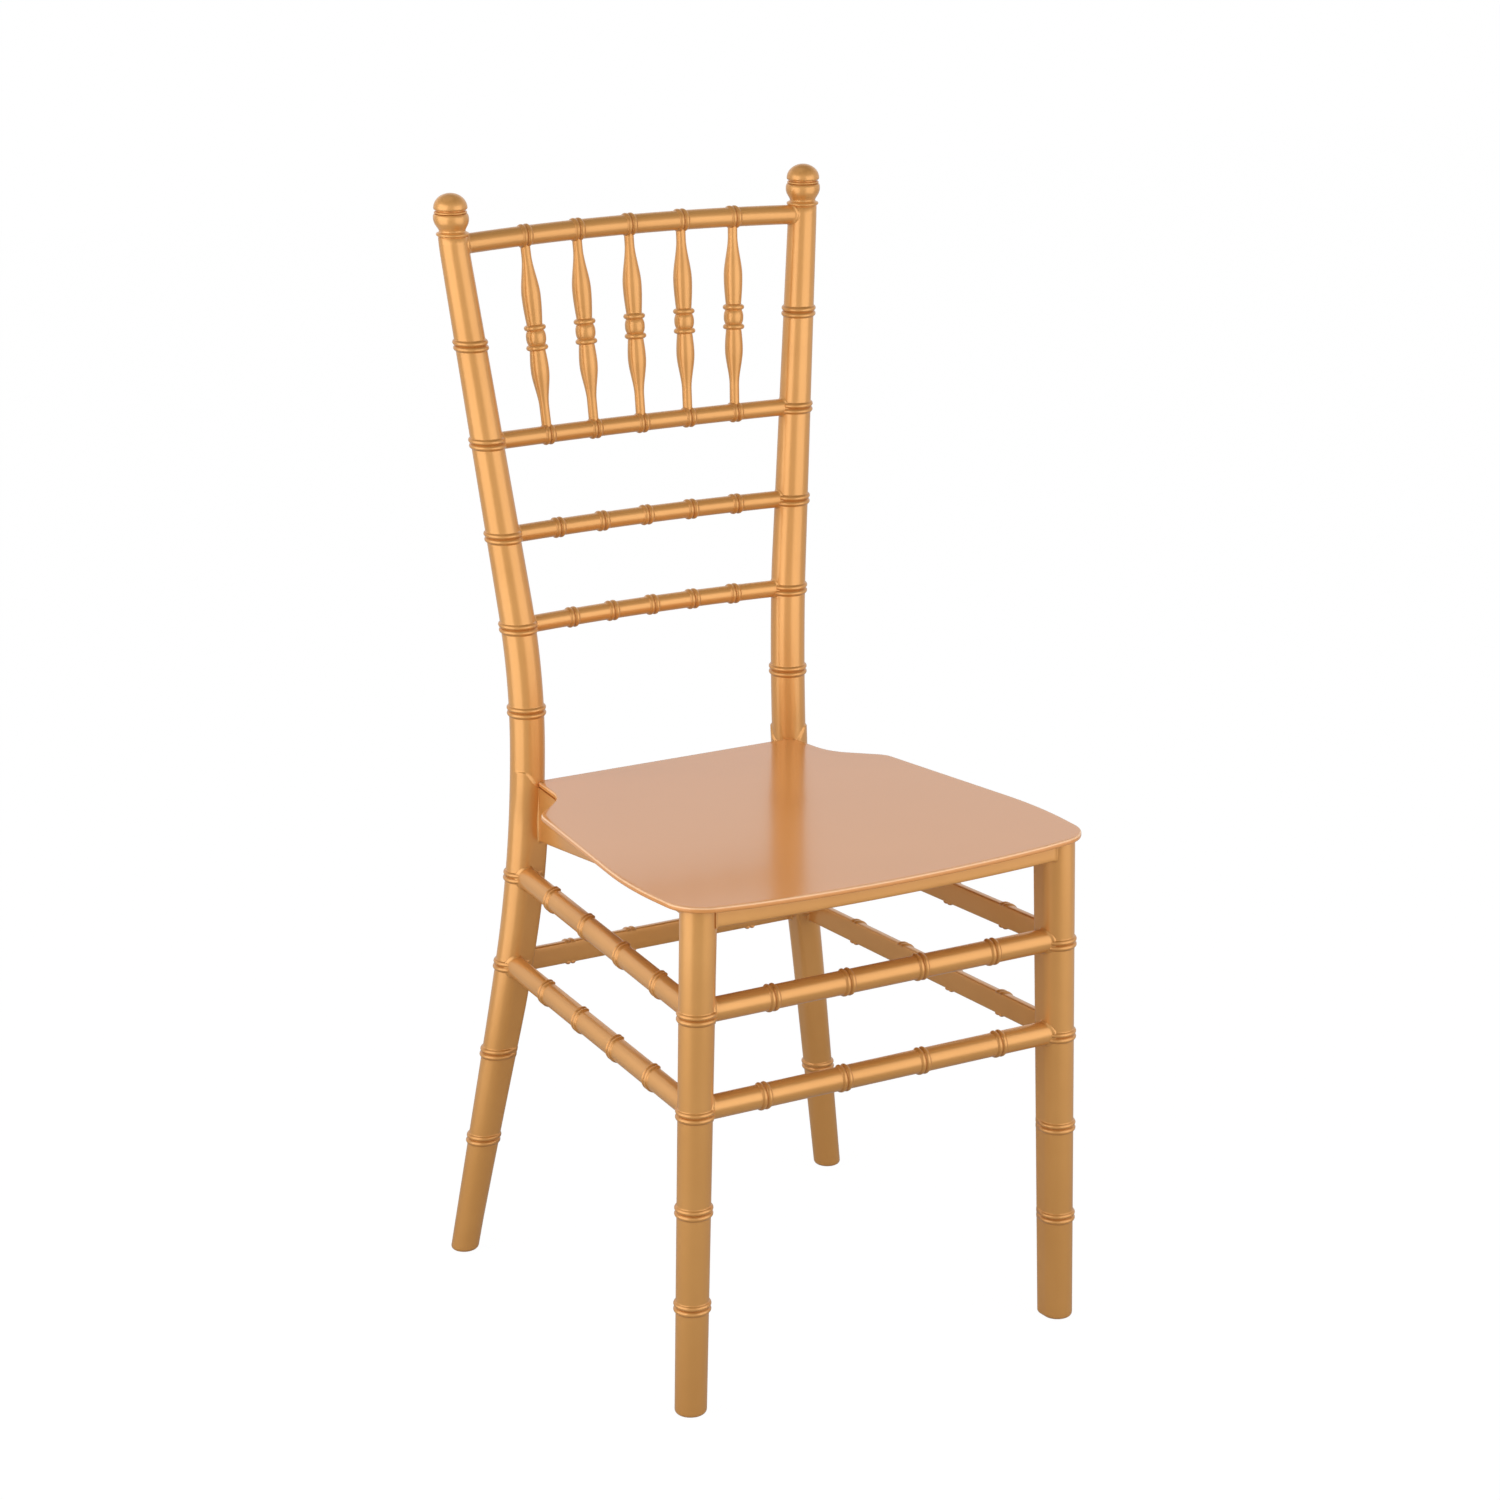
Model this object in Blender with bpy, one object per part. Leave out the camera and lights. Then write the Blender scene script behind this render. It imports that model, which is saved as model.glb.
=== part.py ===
"""Gold plastic banquet chair with a spindle back, in metres, +Z up, front towards -Y."""
import math
from collections import namedtuple

import bmesh
import bpy
from mathutils import Vector

# Overall sizes: heights, and the distance from the front legs' axes back to the posts' axes
SEAT_HEIGHT = 0.428
BACK_HEIGHT = 0.492
LEG_SPAN = 0.3537
GAP = 0.0003

# Front legs: nearly upright, round outside, square at the inner corner
FRONT_LEG_Y = -0.187
FRONT_FOOT_X = 0.1772
FRONT_TOP_X = 0.1672
FRONT_FOOT_R = 0.0129
FRONT_TOP_R = 0.0146
FRONT_LOW_RING = 0.0932
FRONT_RING_SAG = 0.0022

# Rear posts: splayed foot, upright at the seat, flared back. Bends and tapers are measured from the
# seat top; the foot leans out sideways from higher up than it leans back
POST_X = 0.1285
SPLAY_SLOPE_X = 0.155
SPLAY_SLOPE_Y = 0.088
SPLAY_DROP_X = 0.051
SPLAY_DROP_Y = 0.133
SPLAY_BLEND = 0.100
FLARE_SLOPE_X = 0.110
FLARE_SLOPE_Y = 0.1065
FLARE_RISE_X = 0.102
FLARE_RISE_Y = 0.077
FLARE_BLEND = 0.055
POST_FOOT_R = 0.0120
POST_SEAT_R = 0.0148
POST_TOP_R = 0.0122
TAPER_DROP = 0.090
TAPER_RISE = 0.151
POST_LOW_RING = 0.106
SEAT_RING_RISE = 0.060
SQUARE_START = 0.030
SQUARE_RUN = 0.200
SQUARE_FADE = 0.003
FOOT_ROUND = 0.0035

# Turned tip of the rear posts, measured down from the top, and the cap pressed into it
TIP_DROP = 0.044
TIP_BLEND = 0.008
TIP_EASE_SHARE = 0.45
COLLAR_DROP = 0.0333
COLLAR_HALF = 0.0012
NECK_DROP = 0.0307
BARREL_DROP = 0.0206
GROOVE_DROP = 0.0166
COLLAR_R = 0.0137
NECK_R = 0.0109
BARREL_R = 0.0147
GROOVE_R = 0.0124
CAP_R = 0.0140
CAP_EDGE = 0.0018
CAP_STEM_R = 0.0045
CAP_STEM_DEPTH = 0.014

# Rings: pairs of beads on legs and rails
RING_HALF = 0.0047
LEG_RING_RISE = 0.0018
RAIL_RING_RISE = 0.0015
RINGS_PER_BACK_RAIL = 5
RINGS_PER_SEAT_RAIL = 4

# Round rails of the back: rise above the seat or drop below the top, radius, backward bow, ring pitch
LOWER_SLAT_RISE = 0.1314
LOWER_SLAT_BOW = 0.0081
LOWER_SLAT_PITCH = 0.0394
UPPER_SLAT_RISE = 0.2083
UPPER_SLAT_BOW = 0.0080
UPPER_SLAT_PITCH = 0.0432
SPINDLE_RAIL_RISE = 0.2869
SPINDLE_RAIL_BOW = 0.0058
SPINDLE_RAIL_PITCH = 0.0453
TOP_RAIL_DROP = 0.0428
TOP_RAIL_BOW = 0.0075
TOP_RAIL_ARCH = 0.0033
TOP_RAIL_PITCH = 0.0499
TOP_RAIL_R = 0.0083
BACK_RAIL_R = 0.0073
RAIL_END = 0.005

# Spindles
SPINDLE_COUNT = 5
SPINDLE_NECK_R = 0.0041
SPINDLE_SHOULDER_R = 0.0066
SPINDLE_BALL_R = 0.0084
SPINDLE_BEAD_R = 0.0092
SPINDLE_BEAD_AT = 0.0083
SPINDLE_BEAD_HALF = 0.0023
SPINDLE_TENON = 0.001
SPINDLE_BALL_SAG = 0.0016
SPINDLE_UPPER_R = 0.0080
SPINDLE_UPPER_WIDEST_SHARE = 0.32
SPINDLE_UPPER_NECK_SHARE = 0.78
SPINDLE_LOWER_R = 0.0077
SPINDLE_LOWER_WIDEST_SHARE = 0.23
SPINDLE_LOWER_NECK_SHARE = 0.66

# Rails under the seat, measured down from the seat top at the front legs
SEAT_RAIL_R = 0.0098
SEAT_RAIL_FLAT = 0.003
UPPER_RAIL_DROP = 0.0910
LOWER_RAIL_DROP = 0.1713
UPPER_RAIL_RISE = 0.007
LOWER_RAIL_RISE = 0.0085
FRONT_UPPER_PITCH = 0.069
FRONT_LOWER_PITCH = 0.074
REAR_PITCH = 0.060
SIDE_UPPER_PITCH = 0.072
SIDE_LOWER_PITCH = 0.068
SIDE_RINGS_AHEAD = 0.004

# Seat frame. A side apron meets its post inside the post's axis and deepens on its way there
APRON_THICKNESS = 0.006
APRON_FRONT_DROP = 0.0158
APRON_REAR_DROP = 0.0503
APRON_DEEP_RUN = 0.2327
APRON_REAR_IN = 0.0065
APRON_END = 0.008
FRONT_APRON_AHEAD = 0.008
FRONT_BOW = 0.008
CROSSBAR_AHEAD = 0.0317
CROSSBAR_DROP = 0.026
CROSSBAR_HOUSING = 0.0025

# Seat panel outline: how far its corners stand out from the legs' axes, and their fillets
PANEL_THICKNESS = 0.0045
LIP_ROUND = 0.0014
LIP_AHEAD = 0.0366
LIP_BOW_WIDTH = 0.130
FRONT_CORNER_OUT = 0.0216
FRONT_CORNER_AHEAD = 0.0182
FRONT_CORNER_R = 0.043
SIDE_BEND_OUT = 0.0351
SIDE_BEND_BEHIND = 0.0631
SIDE_BEND_R = 0.750
REAR_CORNER_OUT = 0.0296
REAR_CORNER_AHEAD = 0.0977
REAR_CORNER_R = 0.020
NOTCH_OUT = 0.0035
NOTCH_AHEAD = 0.0627
NOTCH_R = 0.045
NOTCH_END_IN = 0.003
LIP_REAR_AHEAD = 0.0109
POST_CLEARANCE = 0.0008

# Ribs under the panel
RIB_THICKNESS = 0.0024
RIB_DEPTH = 0.008
RIB_SPACING = 0.080
RIB_CLEARANCE = 0.006
CROSS_RIBS = 2

# Seat screws, the bosses they bite into and the lugs they pass through
SCREW_SPREAD = 0.040
SCREW_BEHIND = 0.057
SCREW_AHEAD = 0.0847
SCREW_INSET = 0.008
SCREW_R = 0.0017
SCREW_HEAD_R = 0.0036
SCREW_HEAD_HEIGHT = 0.0024
SCREW_BITE = 0.0080
SCREW_POINT = 0.002
BOSS_R = 0.0055
BOSS_DEPTH = 0.008
LUG_THICKNESS = 0.0035
LUG_HALF = 0.007

# Glides pressed into the feet
GLIDE_RIM = 0.0059
GLIDE_PAD_HEIGHT = 0.0035
GLIDE_EDGE = 0.0008
GLIDE_STEM_R = 0.0035
GLIDE_STEM_TOP = 0.016
FOOT_CLEARANCE = 0.0015

# How far cutting tools reach past a face, how deep joined blocks sink in, and facet counts
TOOL_REACH = 0.012
OVERLAP = 0.001
LEG_SIDES = 12
RAIL_SIDES = 8
SHARP_ANGLE = math.radians(40)

# Places worked out from the sizes above
POST_Y = FRONT_LEG_Y + LEG_SPAN
TOP = SEAT_HEIGHT + BACK_HEIGHT
PANEL_UNDER = SEAT_HEIGHT - PANEL_THICKNESS
FRAME_TOP = PANEL_UNDER - GAP
SPLAY_BENDS = (SEAT_HEIGHT - SPLAY_DROP_X, SEAT_HEIGHT - SPLAY_DROP_Y)
FLARE_BENDS = (SEAT_HEIGHT + FLARE_RISE_X, SEAT_HEIGHT + FLARE_RISE_Y)
COLLAR_Z = TOP - COLLAR_DROP
GROOVE_Z = TOP - GROOVE_DROP
UPPER_RAIL_Z = SEAT_HEIGHT - UPPER_RAIL_DROP
LOWER_RAIL_Z = SEAT_HEIGHT - LOWER_RAIL_DROP
UPPER_RAIL_BACK_Z = UPPER_RAIL_Z + UPPER_RAIL_RISE
LOWER_RAIL_BACK_Z = LOWER_RAIL_Z + LOWER_RAIL_RISE
LUG_TOP = PANEL_UNDER - BOSS_DEPTH - GAP
LUG_BOTTOM = LUG_TOP - LUG_THICKNESS

BackRail = namedtuple("BackRail", "z radius bow arch pitch")
TOP_RAIL = BackRail(TOP - TOP_RAIL_DROP, TOP_RAIL_R, TOP_RAIL_BOW, TOP_RAIL_ARCH, TOP_RAIL_PITCH)
SPINDLE_RAIL_Z = SEAT_HEIGHT + SPINDLE_RAIL_RISE
SPINDLE_RAIL = BackRail(SPINDLE_RAIL_Z, BACK_RAIL_R, SPINDLE_RAIL_BOW, 0.0, SPINDLE_RAIL_PITCH)
UPPER_SLAT = BackRail(SEAT_HEIGHT + UPPER_SLAT_RISE, BACK_RAIL_R, UPPER_SLAT_BOW, 0.0, UPPER_SLAT_PITCH)
LOWER_SLAT = BackRail(SEAT_HEIGHT + LOWER_SLAT_RISE, BACK_RAIL_R, LOWER_SLAT_BOW, 0.0, LOWER_SLAT_PITCH)

# Each half of a spindle: its widest radius, and where along the half it is widest and its neck starts
SpindleHalf = namedtuple("SpindleHalf", "radius widest neck")
SPINDLE_UPPER = SpindleHalf(SPINDLE_UPPER_R, SPINDLE_UPPER_WIDEST_SHARE, SPINDLE_UPPER_NECK_SHARE)
SPINDLE_LOWER = SpindleHalf(SPINDLE_LOWER_R, SPINDLE_LOWER_WIDEST_SHARE, SPINDLE_LOWER_NECK_SHARE)


def clear_scene():
    for item in list(bpy.data.objects):
        bpy.data.objects.remove(item, do_unlink=True)


def make_material(name, colour, roughness, metallic=0.0):
    material = bpy.data.materials.new(name)
    material.use_nodes = True
    shader = material.node_tree.nodes["Principled BSDF"]
    shader.inputs["Base Color"].default_value = (*colour, 1.0)
    shader.inputs["Roughness"].default_value = roughness
    shader.inputs["Metallic"].default_value = metallic
    return material


def loft(name, sections, material=None, location=(0.0, 0.0, 0.0)):
    """Skin a list of closed point loops that all have the same count, and cap both ends."""
    bm = bmesh.new()
    loops = [[bm.verts.new(point) for point in section] for section in sections]
    count = len(loops[0])
    for lower, upper in zip(loops, loops[1:]):
        for i in range(count):
            j = (i + 1) % count
            bm.faces.new((lower[i], lower[j], upper[j], upper[i]))
    bm.faces.new(list(reversed(loops[0])))
    bm.faces.new(loops[-1])
    bmesh.ops.recalc_face_normals(bm, faces=bm.faces)
    mesh = bpy.data.meshes.new(name)
    bm.to_mesh(mesh)
    bm.free()
    if material:
        mesh.materials.append(material)
    item = bpy.data.objects.new(name, mesh)
    item.location = location
    bpy.context.scene.collection.objects.link(item)
    return item


def cut(target, tool, operation="DIFFERENCE"):
    """Apply a boolean and remove the tool."""
    modifier = target.modifiers.new("joint", "BOOLEAN")
    modifier.operation = operation
    modifier.solver = "EXACT"
    modifier.object = tool
    bpy.context.view_layer.update()
    depsgraph = bpy.context.evaluated_depsgraph_get()
    mesh = bpy.data.meshes.new_from_object(target.evaluated_get(depsgraph))
    target.modifiers.remove(modifier)
    old = target.data
    target.data = mesh
    bpy.data.meshes.remove(old)
    bpy.data.objects.remove(tool, do_unlink=True)


def mix(a, b, share):
    return a + (b - a) * share


def clamp(value):
    return max(0.0, min(1.0, value))


def ramp(value, blend):
    """Zero below a bend, a straight slope above it, with a round blend between."""
    if value <= -blend:
        return 0.0
    if value >= blend:
        return value
    return (value + blend) ** 2 / (4.0 * blend)


def spread(pitch, count, middle=0.0):
    """Evenly spaced places about a middle."""
    return [middle + pitch * (i - (count - 1) / 2.0) for i in range(count)]


def front_leg_axis(z):
    """Centre of the right front leg at a height."""
    return mix(FRONT_FOOT_X, FRONT_TOP_X, z / FRAME_TOP), FRONT_LEG_Y


def post_axis(z):
    """Centre of the right rear post at a height."""
    low_x, low_y = [ramp(bend - z, SPLAY_BLEND) for bend in SPLAY_BENDS]
    ease = TIP_EASE_SHARE * ramp(z - TOP + TIP_DROP, TIP_BLEND)
    high_x, high_y = [ramp(z - bend, FLARE_BLEND) - ease for bend in FLARE_BENDS]
    x = POST_X + SPLAY_SLOPE_X * low_x + FLARE_SLOPE_X * high_x
    y = POST_Y + SPLAY_SLOPE_Y * low_y + FLARE_SLOPE_Y * high_y
    return x, y


def front_leg_radius(z):
    return mix(FRONT_FOOT_R, FRONT_TOP_R, z / FRAME_TOP)


def post_radius(z):
    if z < SEAT_HEIGHT:
        return mix(POST_FOOT_R, POST_SEAT_R, clamp(z / (SEAT_HEIGHT - TAPER_DROP)))
    start = SEAT_HEIGHT + TAPER_RISE
    return mix(POST_SEAT_R, POST_TOP_R, clamp((z - start) / (COLLAR_Z - start)))


def post_squareness(z):
    """Square inner corner below the seat, fading to round towards the floor and above the seat."""
    if z > FRAME_TOP - SQUARE_FADE:
        return 0.0
    return clamp((z - SQUARE_START) / SQUARE_RUN)


def front_leg_rings():
    low = LOWER_RAIL_Z - FRONT_RING_SAG
    high = UPPER_RAIL_Z - FRONT_RING_SAG
    return [FRONT_LOW_RING, mix(FRONT_LOW_RING, low, 0.5), low, high]


def post_rings():
    below = [POST_LOW_RING, mix(POST_LOW_RING, LOWER_RAIL_BACK_Z, 0.5), LOWER_RAIL_BACK_Z, UPPER_RAIL_BACK_Z]
    above = [SEAT_HEIGHT + SEAT_RING_RISE, LOWER_SLAT.z, UPPER_SLAT.z, SPINDLE_RAIL.z]
    return below + above + [mix(SPINDLE_RAIL.z, TOP_RAIL.z, 0.5)]


def ring_steps(rise):
    """Offsets along a stick and outward for a pair of beads."""
    crest = RING_HALF * 0.55
    return ((-RING_HALF, 0.0), (-crest, rise), (0.0, rise * 0.35), (crest, rise), (RING_HALF, 0.0))


def ring_stations(start, end, rings, rise, bends=()):
    """Sorted (place, rise) pairs along a stick: its ends, its rings and the bends clear of them."""
    stations = [(start, 0.0), (end, 0.0)]
    for place in bends:
        clear = all(abs(place - ring) > 1.2 * RING_HALF for ring in rings)
        if clear and start < place < end:
            stations.append((place, 0.0))
    for ring in rings:
        stations += [(ring + along, out) for along, out in ring_steps(rise)]
    return sorted(stations)


def leg_section(centre, z, radius, inward, square=0.0, rise=0.0):
    """Circle whose inner quadrant swells to a square corner; rings fade out at that corner."""
    points = []
    corner_angle = math.atan2(inward[1], inward[0])
    for i in range(LEG_SIDES):
        turn = 2.0 * math.pi * i / LEG_SIDES
        away = min(turn, 2.0 * math.pi - turn)
        reach = radius + rise
        if away < math.pi / 4.0:
            flat = mix(reach, radius, square) / math.cos(math.pi / 4.0 - away)
            reach = mix(reach, flat, square)
        x = centre[0] + reach * math.cos(corner_angle + turn)
        y = centre[1] + reach * math.sin(corner_angle + turn)
        points.append((x, y, z))
    return points


def round_section(centre, radius, axis, sides):
    """Regular loop around a point, in the plane square to the named axis."""
    points = []
    for i in range(sides):
        angle = 2.0 * math.pi * (i + 0.5) / sides
        u = radius * math.cos(angle)
        v = radius * math.sin(angle)
        offset = {"X": (0.0, u, v), "Z": (u, v, 0.0)}[axis]
        points.append(tuple(c + o for c, o in zip(centre, offset)))
    return points


def half_round_section(centre, axis, outward, grow=0.0):
    """Rail loop: half circle outside, a short straight part and a flat face inside, which keeps no rings."""
    radius = SEAT_RAIL_R + grow
    flat = SEAT_RAIL_FLAT + min(grow, GAP)
    half = RAIL_SIDES // 2
    angles = [math.pi * (0.5 + i / half) for i in range(half + 1)]
    points = [(radius * math.cos(angle), radius * math.sin(angle)) for angle in angles]
    points += [(flat, -radius), (flat, radius)]
    placed = []
    for u, v in points:
        across = -u * outward
        offset = (0.0, across, v) if axis == "X" else (across, 0.0, v)
        placed.append(tuple(c + o for c, o in zip(centre, offset)))
    return placed


def box(low, high):
    """Block between two opposite corners, used as a tool."""
    corners = ((low[0], low[1]), (high[0], low[1]), (high[0], high[1]), (low[0], high[1]))
    return loft("tool", [[(x, y, z) for x, y in corners] for z in (low[2], high[2])])


def rod(x, y, steps, sides=RAIL_SIDES):
    """Upright turned tool from (height, radius) steps."""
    return loft("tool", [round_section((x, y, z), r, "Z", sides) for z, r in steps])


def turned(name, steps, sides, material, location):
    """Turned piece from (height, radius) steps about its own upright axis, set at a place."""
    sections = [round_section((0.0, 0.0, z), r, "Z", sides) for z, r in steps]
    return loft(name, sections, material, location)


def foot_steps(radius):
    """Rounded lower edge of a leg as (height, radius) steps."""
    third = FOOT_ROUND / 3.0
    return (
        (FOOT_CLEARANCE, radius - FOOT_ROUND),
        (FOOT_CLEARANCE + third, radius - third),
        (FOOT_CLEARANCE + 4.0 * third, radius),
    )


def glide_hole(x, y, foot_radius):
    pad = foot_radius - GLIDE_RIM + GAP
    stem = GLIDE_STEM_R + GAP
    top = GLIDE_PAD_HEIGHT + GAP
    return rod(x, y, ((-TOOL_REACH, pad), (top, pad), (top, stem), (GLIDE_STEM_TOP + GAP, stem)))


def make_front_leg(name, side, material):
    inward = (-side, 1.0)
    sections = []
    for z, radius in foot_steps(FRONT_FOOT_R):
        x, y = front_leg_axis(z)
        sections.append(leg_section((side * x, y), z, radius, inward, 1.0))
    start = FOOT_CLEARANCE + 2.0 * FOOT_ROUND
    for z, rise in ring_stations(start, FRAME_TOP, front_leg_rings(), LEG_RING_RISE):
        x, y = front_leg_axis(z)
        sections.append(leg_section((side * x, y), z, front_leg_radius(z), inward, 1.0, rise))
    leg = loft(name, sections, material)
    x, y = front_leg_axis(0.0)
    cut(leg, glide_hole(side * x, y, FRONT_FOOT_R))
    return leg


def tip_steps():
    """(height, radius) steps of the turned tip above a rear post's last ring."""
    neck_z = TOP - NECK_DROP
    barrel_z = TOP - BARREL_DROP
    return (
        (COLLAR_Z - COLLAR_HALF, COLLAR_R),
        (COLLAR_Z + COLLAR_HALF, COLLAR_R),
        (neck_z, NECK_R),
        (mix(neck_z, barrel_z, 0.55), mix(NECK_R, BARREL_R, 0.78)),
        (barrel_z, BARREL_R),
        (mix(barrel_z, GROOVE_Z, 0.6), mix(BARREL_R, GROOVE_R, 0.27)),
        (GROOVE_Z, GROOVE_R),
    )


def make_post(name, side, material):
    inward = (-side, -1.0)
    sections = []
    for z, radius in foot_steps(POST_FOOT_R):
        x, y = post_axis(z)
        sections.append(leg_section((side * x, y), z, radius, inward))
    start = FOOT_CLEARANCE + 2.0 * FOOT_ROUND
    end = COLLAR_Z - 2.0 * COLLAR_HALF
    shares = (-0.7, 0.0, 0.7)
    bends = [bend + SPLAY_BLEND * share for bend in SPLAY_BENDS for share in shares]
    bends += [bend + FLARE_BLEND * share for bend in FLARE_BENDS for share in shares]
    bends += [FRAME_TOP - 1.3 * SQUARE_FADE, FRAME_TOP - 0.7 * SQUARE_FADE]
    for z, rise in ring_stations(start, end, post_rings(), LEG_RING_RISE, bends):
        x, y = post_axis(z)
        sections.append(leg_section((side * x, y), z, post_radius(z), inward, post_squareness(z), rise))
    for z, radius in tip_steps():
        x, y = post_axis(z)
        sections.append(leg_section((side * x, y), z, radius, inward))
    post = loft(name, sections, material)
    x, y = post_axis(0.0)
    cut(post, glide_hole(side * x, y, POST_FOOT_R))
    x, y = post_axis(GROOVE_Z)
    bore = CAP_STEM_R + GAP
    floor = GROOVE_Z - CAP_STEM_DEPTH - GAP
    cut(post, rod(side * x, y, ((floor, bore), (GROOVE_Z + TOOL_REACH, bore)), LEG_SIDES))
    return post


def make_cap(name, side, material):
    """Domed cap with a lip, on a stem that presses into the post."""
    x, y = post_axis(GROOVE_Z)
    lip = 2.0 * CAP_EDGE
    dome = TOP - GROOVE_Z - GAP - lip
    steps = [(-GAP - CAP_STEM_DEPTH, CAP_STEM_R), (0.0, CAP_STEM_R), (0.0, CAP_R - CAP_EDGE)]
    steps += [(CAP_EDGE, CAP_R), (lip, CAP_R)]
    for share in (0.25, 0.5, 0.75):
        angle = share * math.pi / 2.0
        steps.append((lip + dome * math.sin(angle), CAP_R * math.cos(angle)))
    steps.append((lip + dome, CAP_R * 0.16))
    turned(name, steps, LEG_SIDES, material, (side * x, y, GROOVE_Z + GAP))


def back_rail_centre(rail, x):
    end_x, end_y = post_axis(rail.z)
    swell = 1.0 - (x / end_x) ** 2
    return x, end_y + rail.bow * swell, rail.z + rail.arch * swell


def make_back_rail(name, rail, posts, material):
    """Bowed round rail housed in both posts."""
    end = post_axis(rail.z)[0] - RAIL_END
    rings = spread(rail.pitch, RINGS_PER_BACK_RAIL)
    between = spread(rail.pitch, RINGS_PER_BACK_RAIL + 1)
    sections = []
    for x, rise in ring_stations(-end, end, rings, RAIL_RING_RISE, between):
        sections.append(round_section(back_rail_centre(rail, x), rail.radius + rise, "X", RAIL_SIDES))
    for side, post in zip((-1.0, 1.0), posts):
        places = (side * (end + GAP), side * (end - TOOL_REACH))
        hole = [round_section(back_rail_centre(rail, x), rail.radius + GAP, "X", RAIL_SIDES) for x in places]
        cut(post, loft("tool", hole))
    return loft(name, sections, material)


def spindle_half_steps(half, length):
    """(distance from the ball, radius) steps of one half of a spindle, from the ball outwards."""
    shoulder = SPINDLE_BEAD_AT + SPINDLE_BEAD_HALF
    return (
        (SPINDLE_BEAD_AT - SPINDLE_BEAD_HALF, mix(SPINDLE_SHOULDER_R, SPINDLE_BALL_R, 0.5)),
        (SPINDLE_BEAD_AT, SPINDLE_BEAD_R),
        (shoulder, SPINDLE_SHOULDER_R),
        (mix(shoulder, length, half.widest), half.radius),
        (mix(shoulder, length, mix(half.widest, half.neck, 0.5)), mix(half.radius, SPINDLE_NECK_R, 0.45)),
        (mix(shoulder, length, half.neck), SPINDLE_NECK_R),
        (length, SPINDLE_NECK_R),
    )


def make_spindle(name, place, rails, material):
    """Turned spindle between the spindle rail and the top rail, housed in both."""
    low = back_rail_centre(SPINDLE_RAIL, place * SPINDLE_RAIL.pitch)
    high = back_rail_centre(TOP_RAIL, place * TOP_RAIL.pitch)
    start = low[2] - SPINDLE_TENON
    end = high[2] + SPINDLE_TENON
    ball = (start + end) / 2.0 - SPINDLE_BALL_SAG

    def at(z):
        share = (z - low[2]) / (high[2] - low[2])
        return mix(low[0], high[0], share), mix(low[1], high[1], share), z

    below = [(ball - along, r) for along, r in spindle_half_steps(SPINDLE_LOWER, ball - start)]
    above = [(ball + along, r) for along, r in spindle_half_steps(SPINDLE_UPPER, end - ball)]
    steps = below[::-1] + [(ball, SPINDLE_BALL_R)] + above
    spindle = loft(name, [round_section(at(z), r, "Z", RAIL_SIDES) for z, r in steps], material)
    for rail, span in zip(rails, ((start - GAP, low[2] + TOOL_REACH), (high[2] - TOOL_REACH, end + GAP))):
        hole = [round_section(at(z), SPINDLE_NECK_R + GAP, "Z", RAIL_SIDES) for z in span]
        cut(rail, loft("tool", hole))
    return spindle


def make_cross_rail(name, z, axis, outward, pitch, legs, material):
    """Rail along X between two legs, flat on its inner face."""
    reach, y = axis(z)
    end = reach - RAIL_END
    sections = []
    for x, rise in ring_stations(-end, end, spread(pitch, RINGS_PER_SEAT_RAIL), RAIL_RING_RISE):
        sections.append(half_round_section((x, y, z), "X", outward, rise))
    for side, leg in zip((-1.0, 1.0), legs):
        places = (side * (end + GAP), side * (end - TOOL_REACH))
        cut(leg, loft("tool", [half_round_section((x, y, z), "X", outward, GAP) for x in places]))
    return loft(name, sections, material)


def make_side_rail(name, side, front_z, back_z, pitch, legs, material):
    """Rail from a front leg back to a rear post, flat on its inner face."""
    front = front_leg_axis(front_z)
    back = post_axis(back_z)
    start = front[1] + RAIL_END
    end = back[1] - RAIL_END

    def centre(y):
        share = (y - front[1]) / (back[1] - front[1])
        return side * mix(front[0], back[0], share), y, mix(front_z, back_z, share)

    rings = spread(pitch, RINGS_PER_SEAT_RAIL, (start + end) / 2.0 - SIDE_RINGS_AHEAD)
    sections = []
    for y, rise in ring_stations(start, end, rings, RAIL_RING_RISE):
        sections.append(half_round_section(centre(y), "Y", side, rise))
    for leg, places in zip(legs, ((start - GAP, start + TOOL_REACH), (end + GAP, end - TOOL_REACH))):
        cut(leg, loft("tool", [half_round_section(centre(y), "Y", side, GAP) for y in places]))
    return loft(name, sections, material)


def front_apron_y(x):
    return FRONT_LEG_Y - FRONT_APRON_AHEAD - FRONT_BOW * (1.0 - (x / FRONT_TOP_X) ** 2)


def side_line_x(y, rear_in=0.0):
    """Line from a front leg's axis back to a rear post's axis, or to a place inside that axis."""
    return mix(FRONT_TOP_X, POST_X - rear_in, (y - FRONT_LEG_Y) / LEG_SPAN)


def side_apron_x(y):
    return side_line_x(y, APRON_REAR_IN)


def board_section(along, place, across, bottom, top, grow=0.0):
    """Upright rectangle loop of a board that runs along X or Y."""
    near = across - APRON_THICKNESS / 2.0 - grow
    far = across + APRON_THICKNESS / 2.0 + grow
    corners = ((near, bottom - grow), (far, bottom - grow), (far, top), (near, top))
    if along == "X":
        return [(place, y, z) for y, z in corners]
    return [(x, place, z) for x, z in corners]


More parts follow.
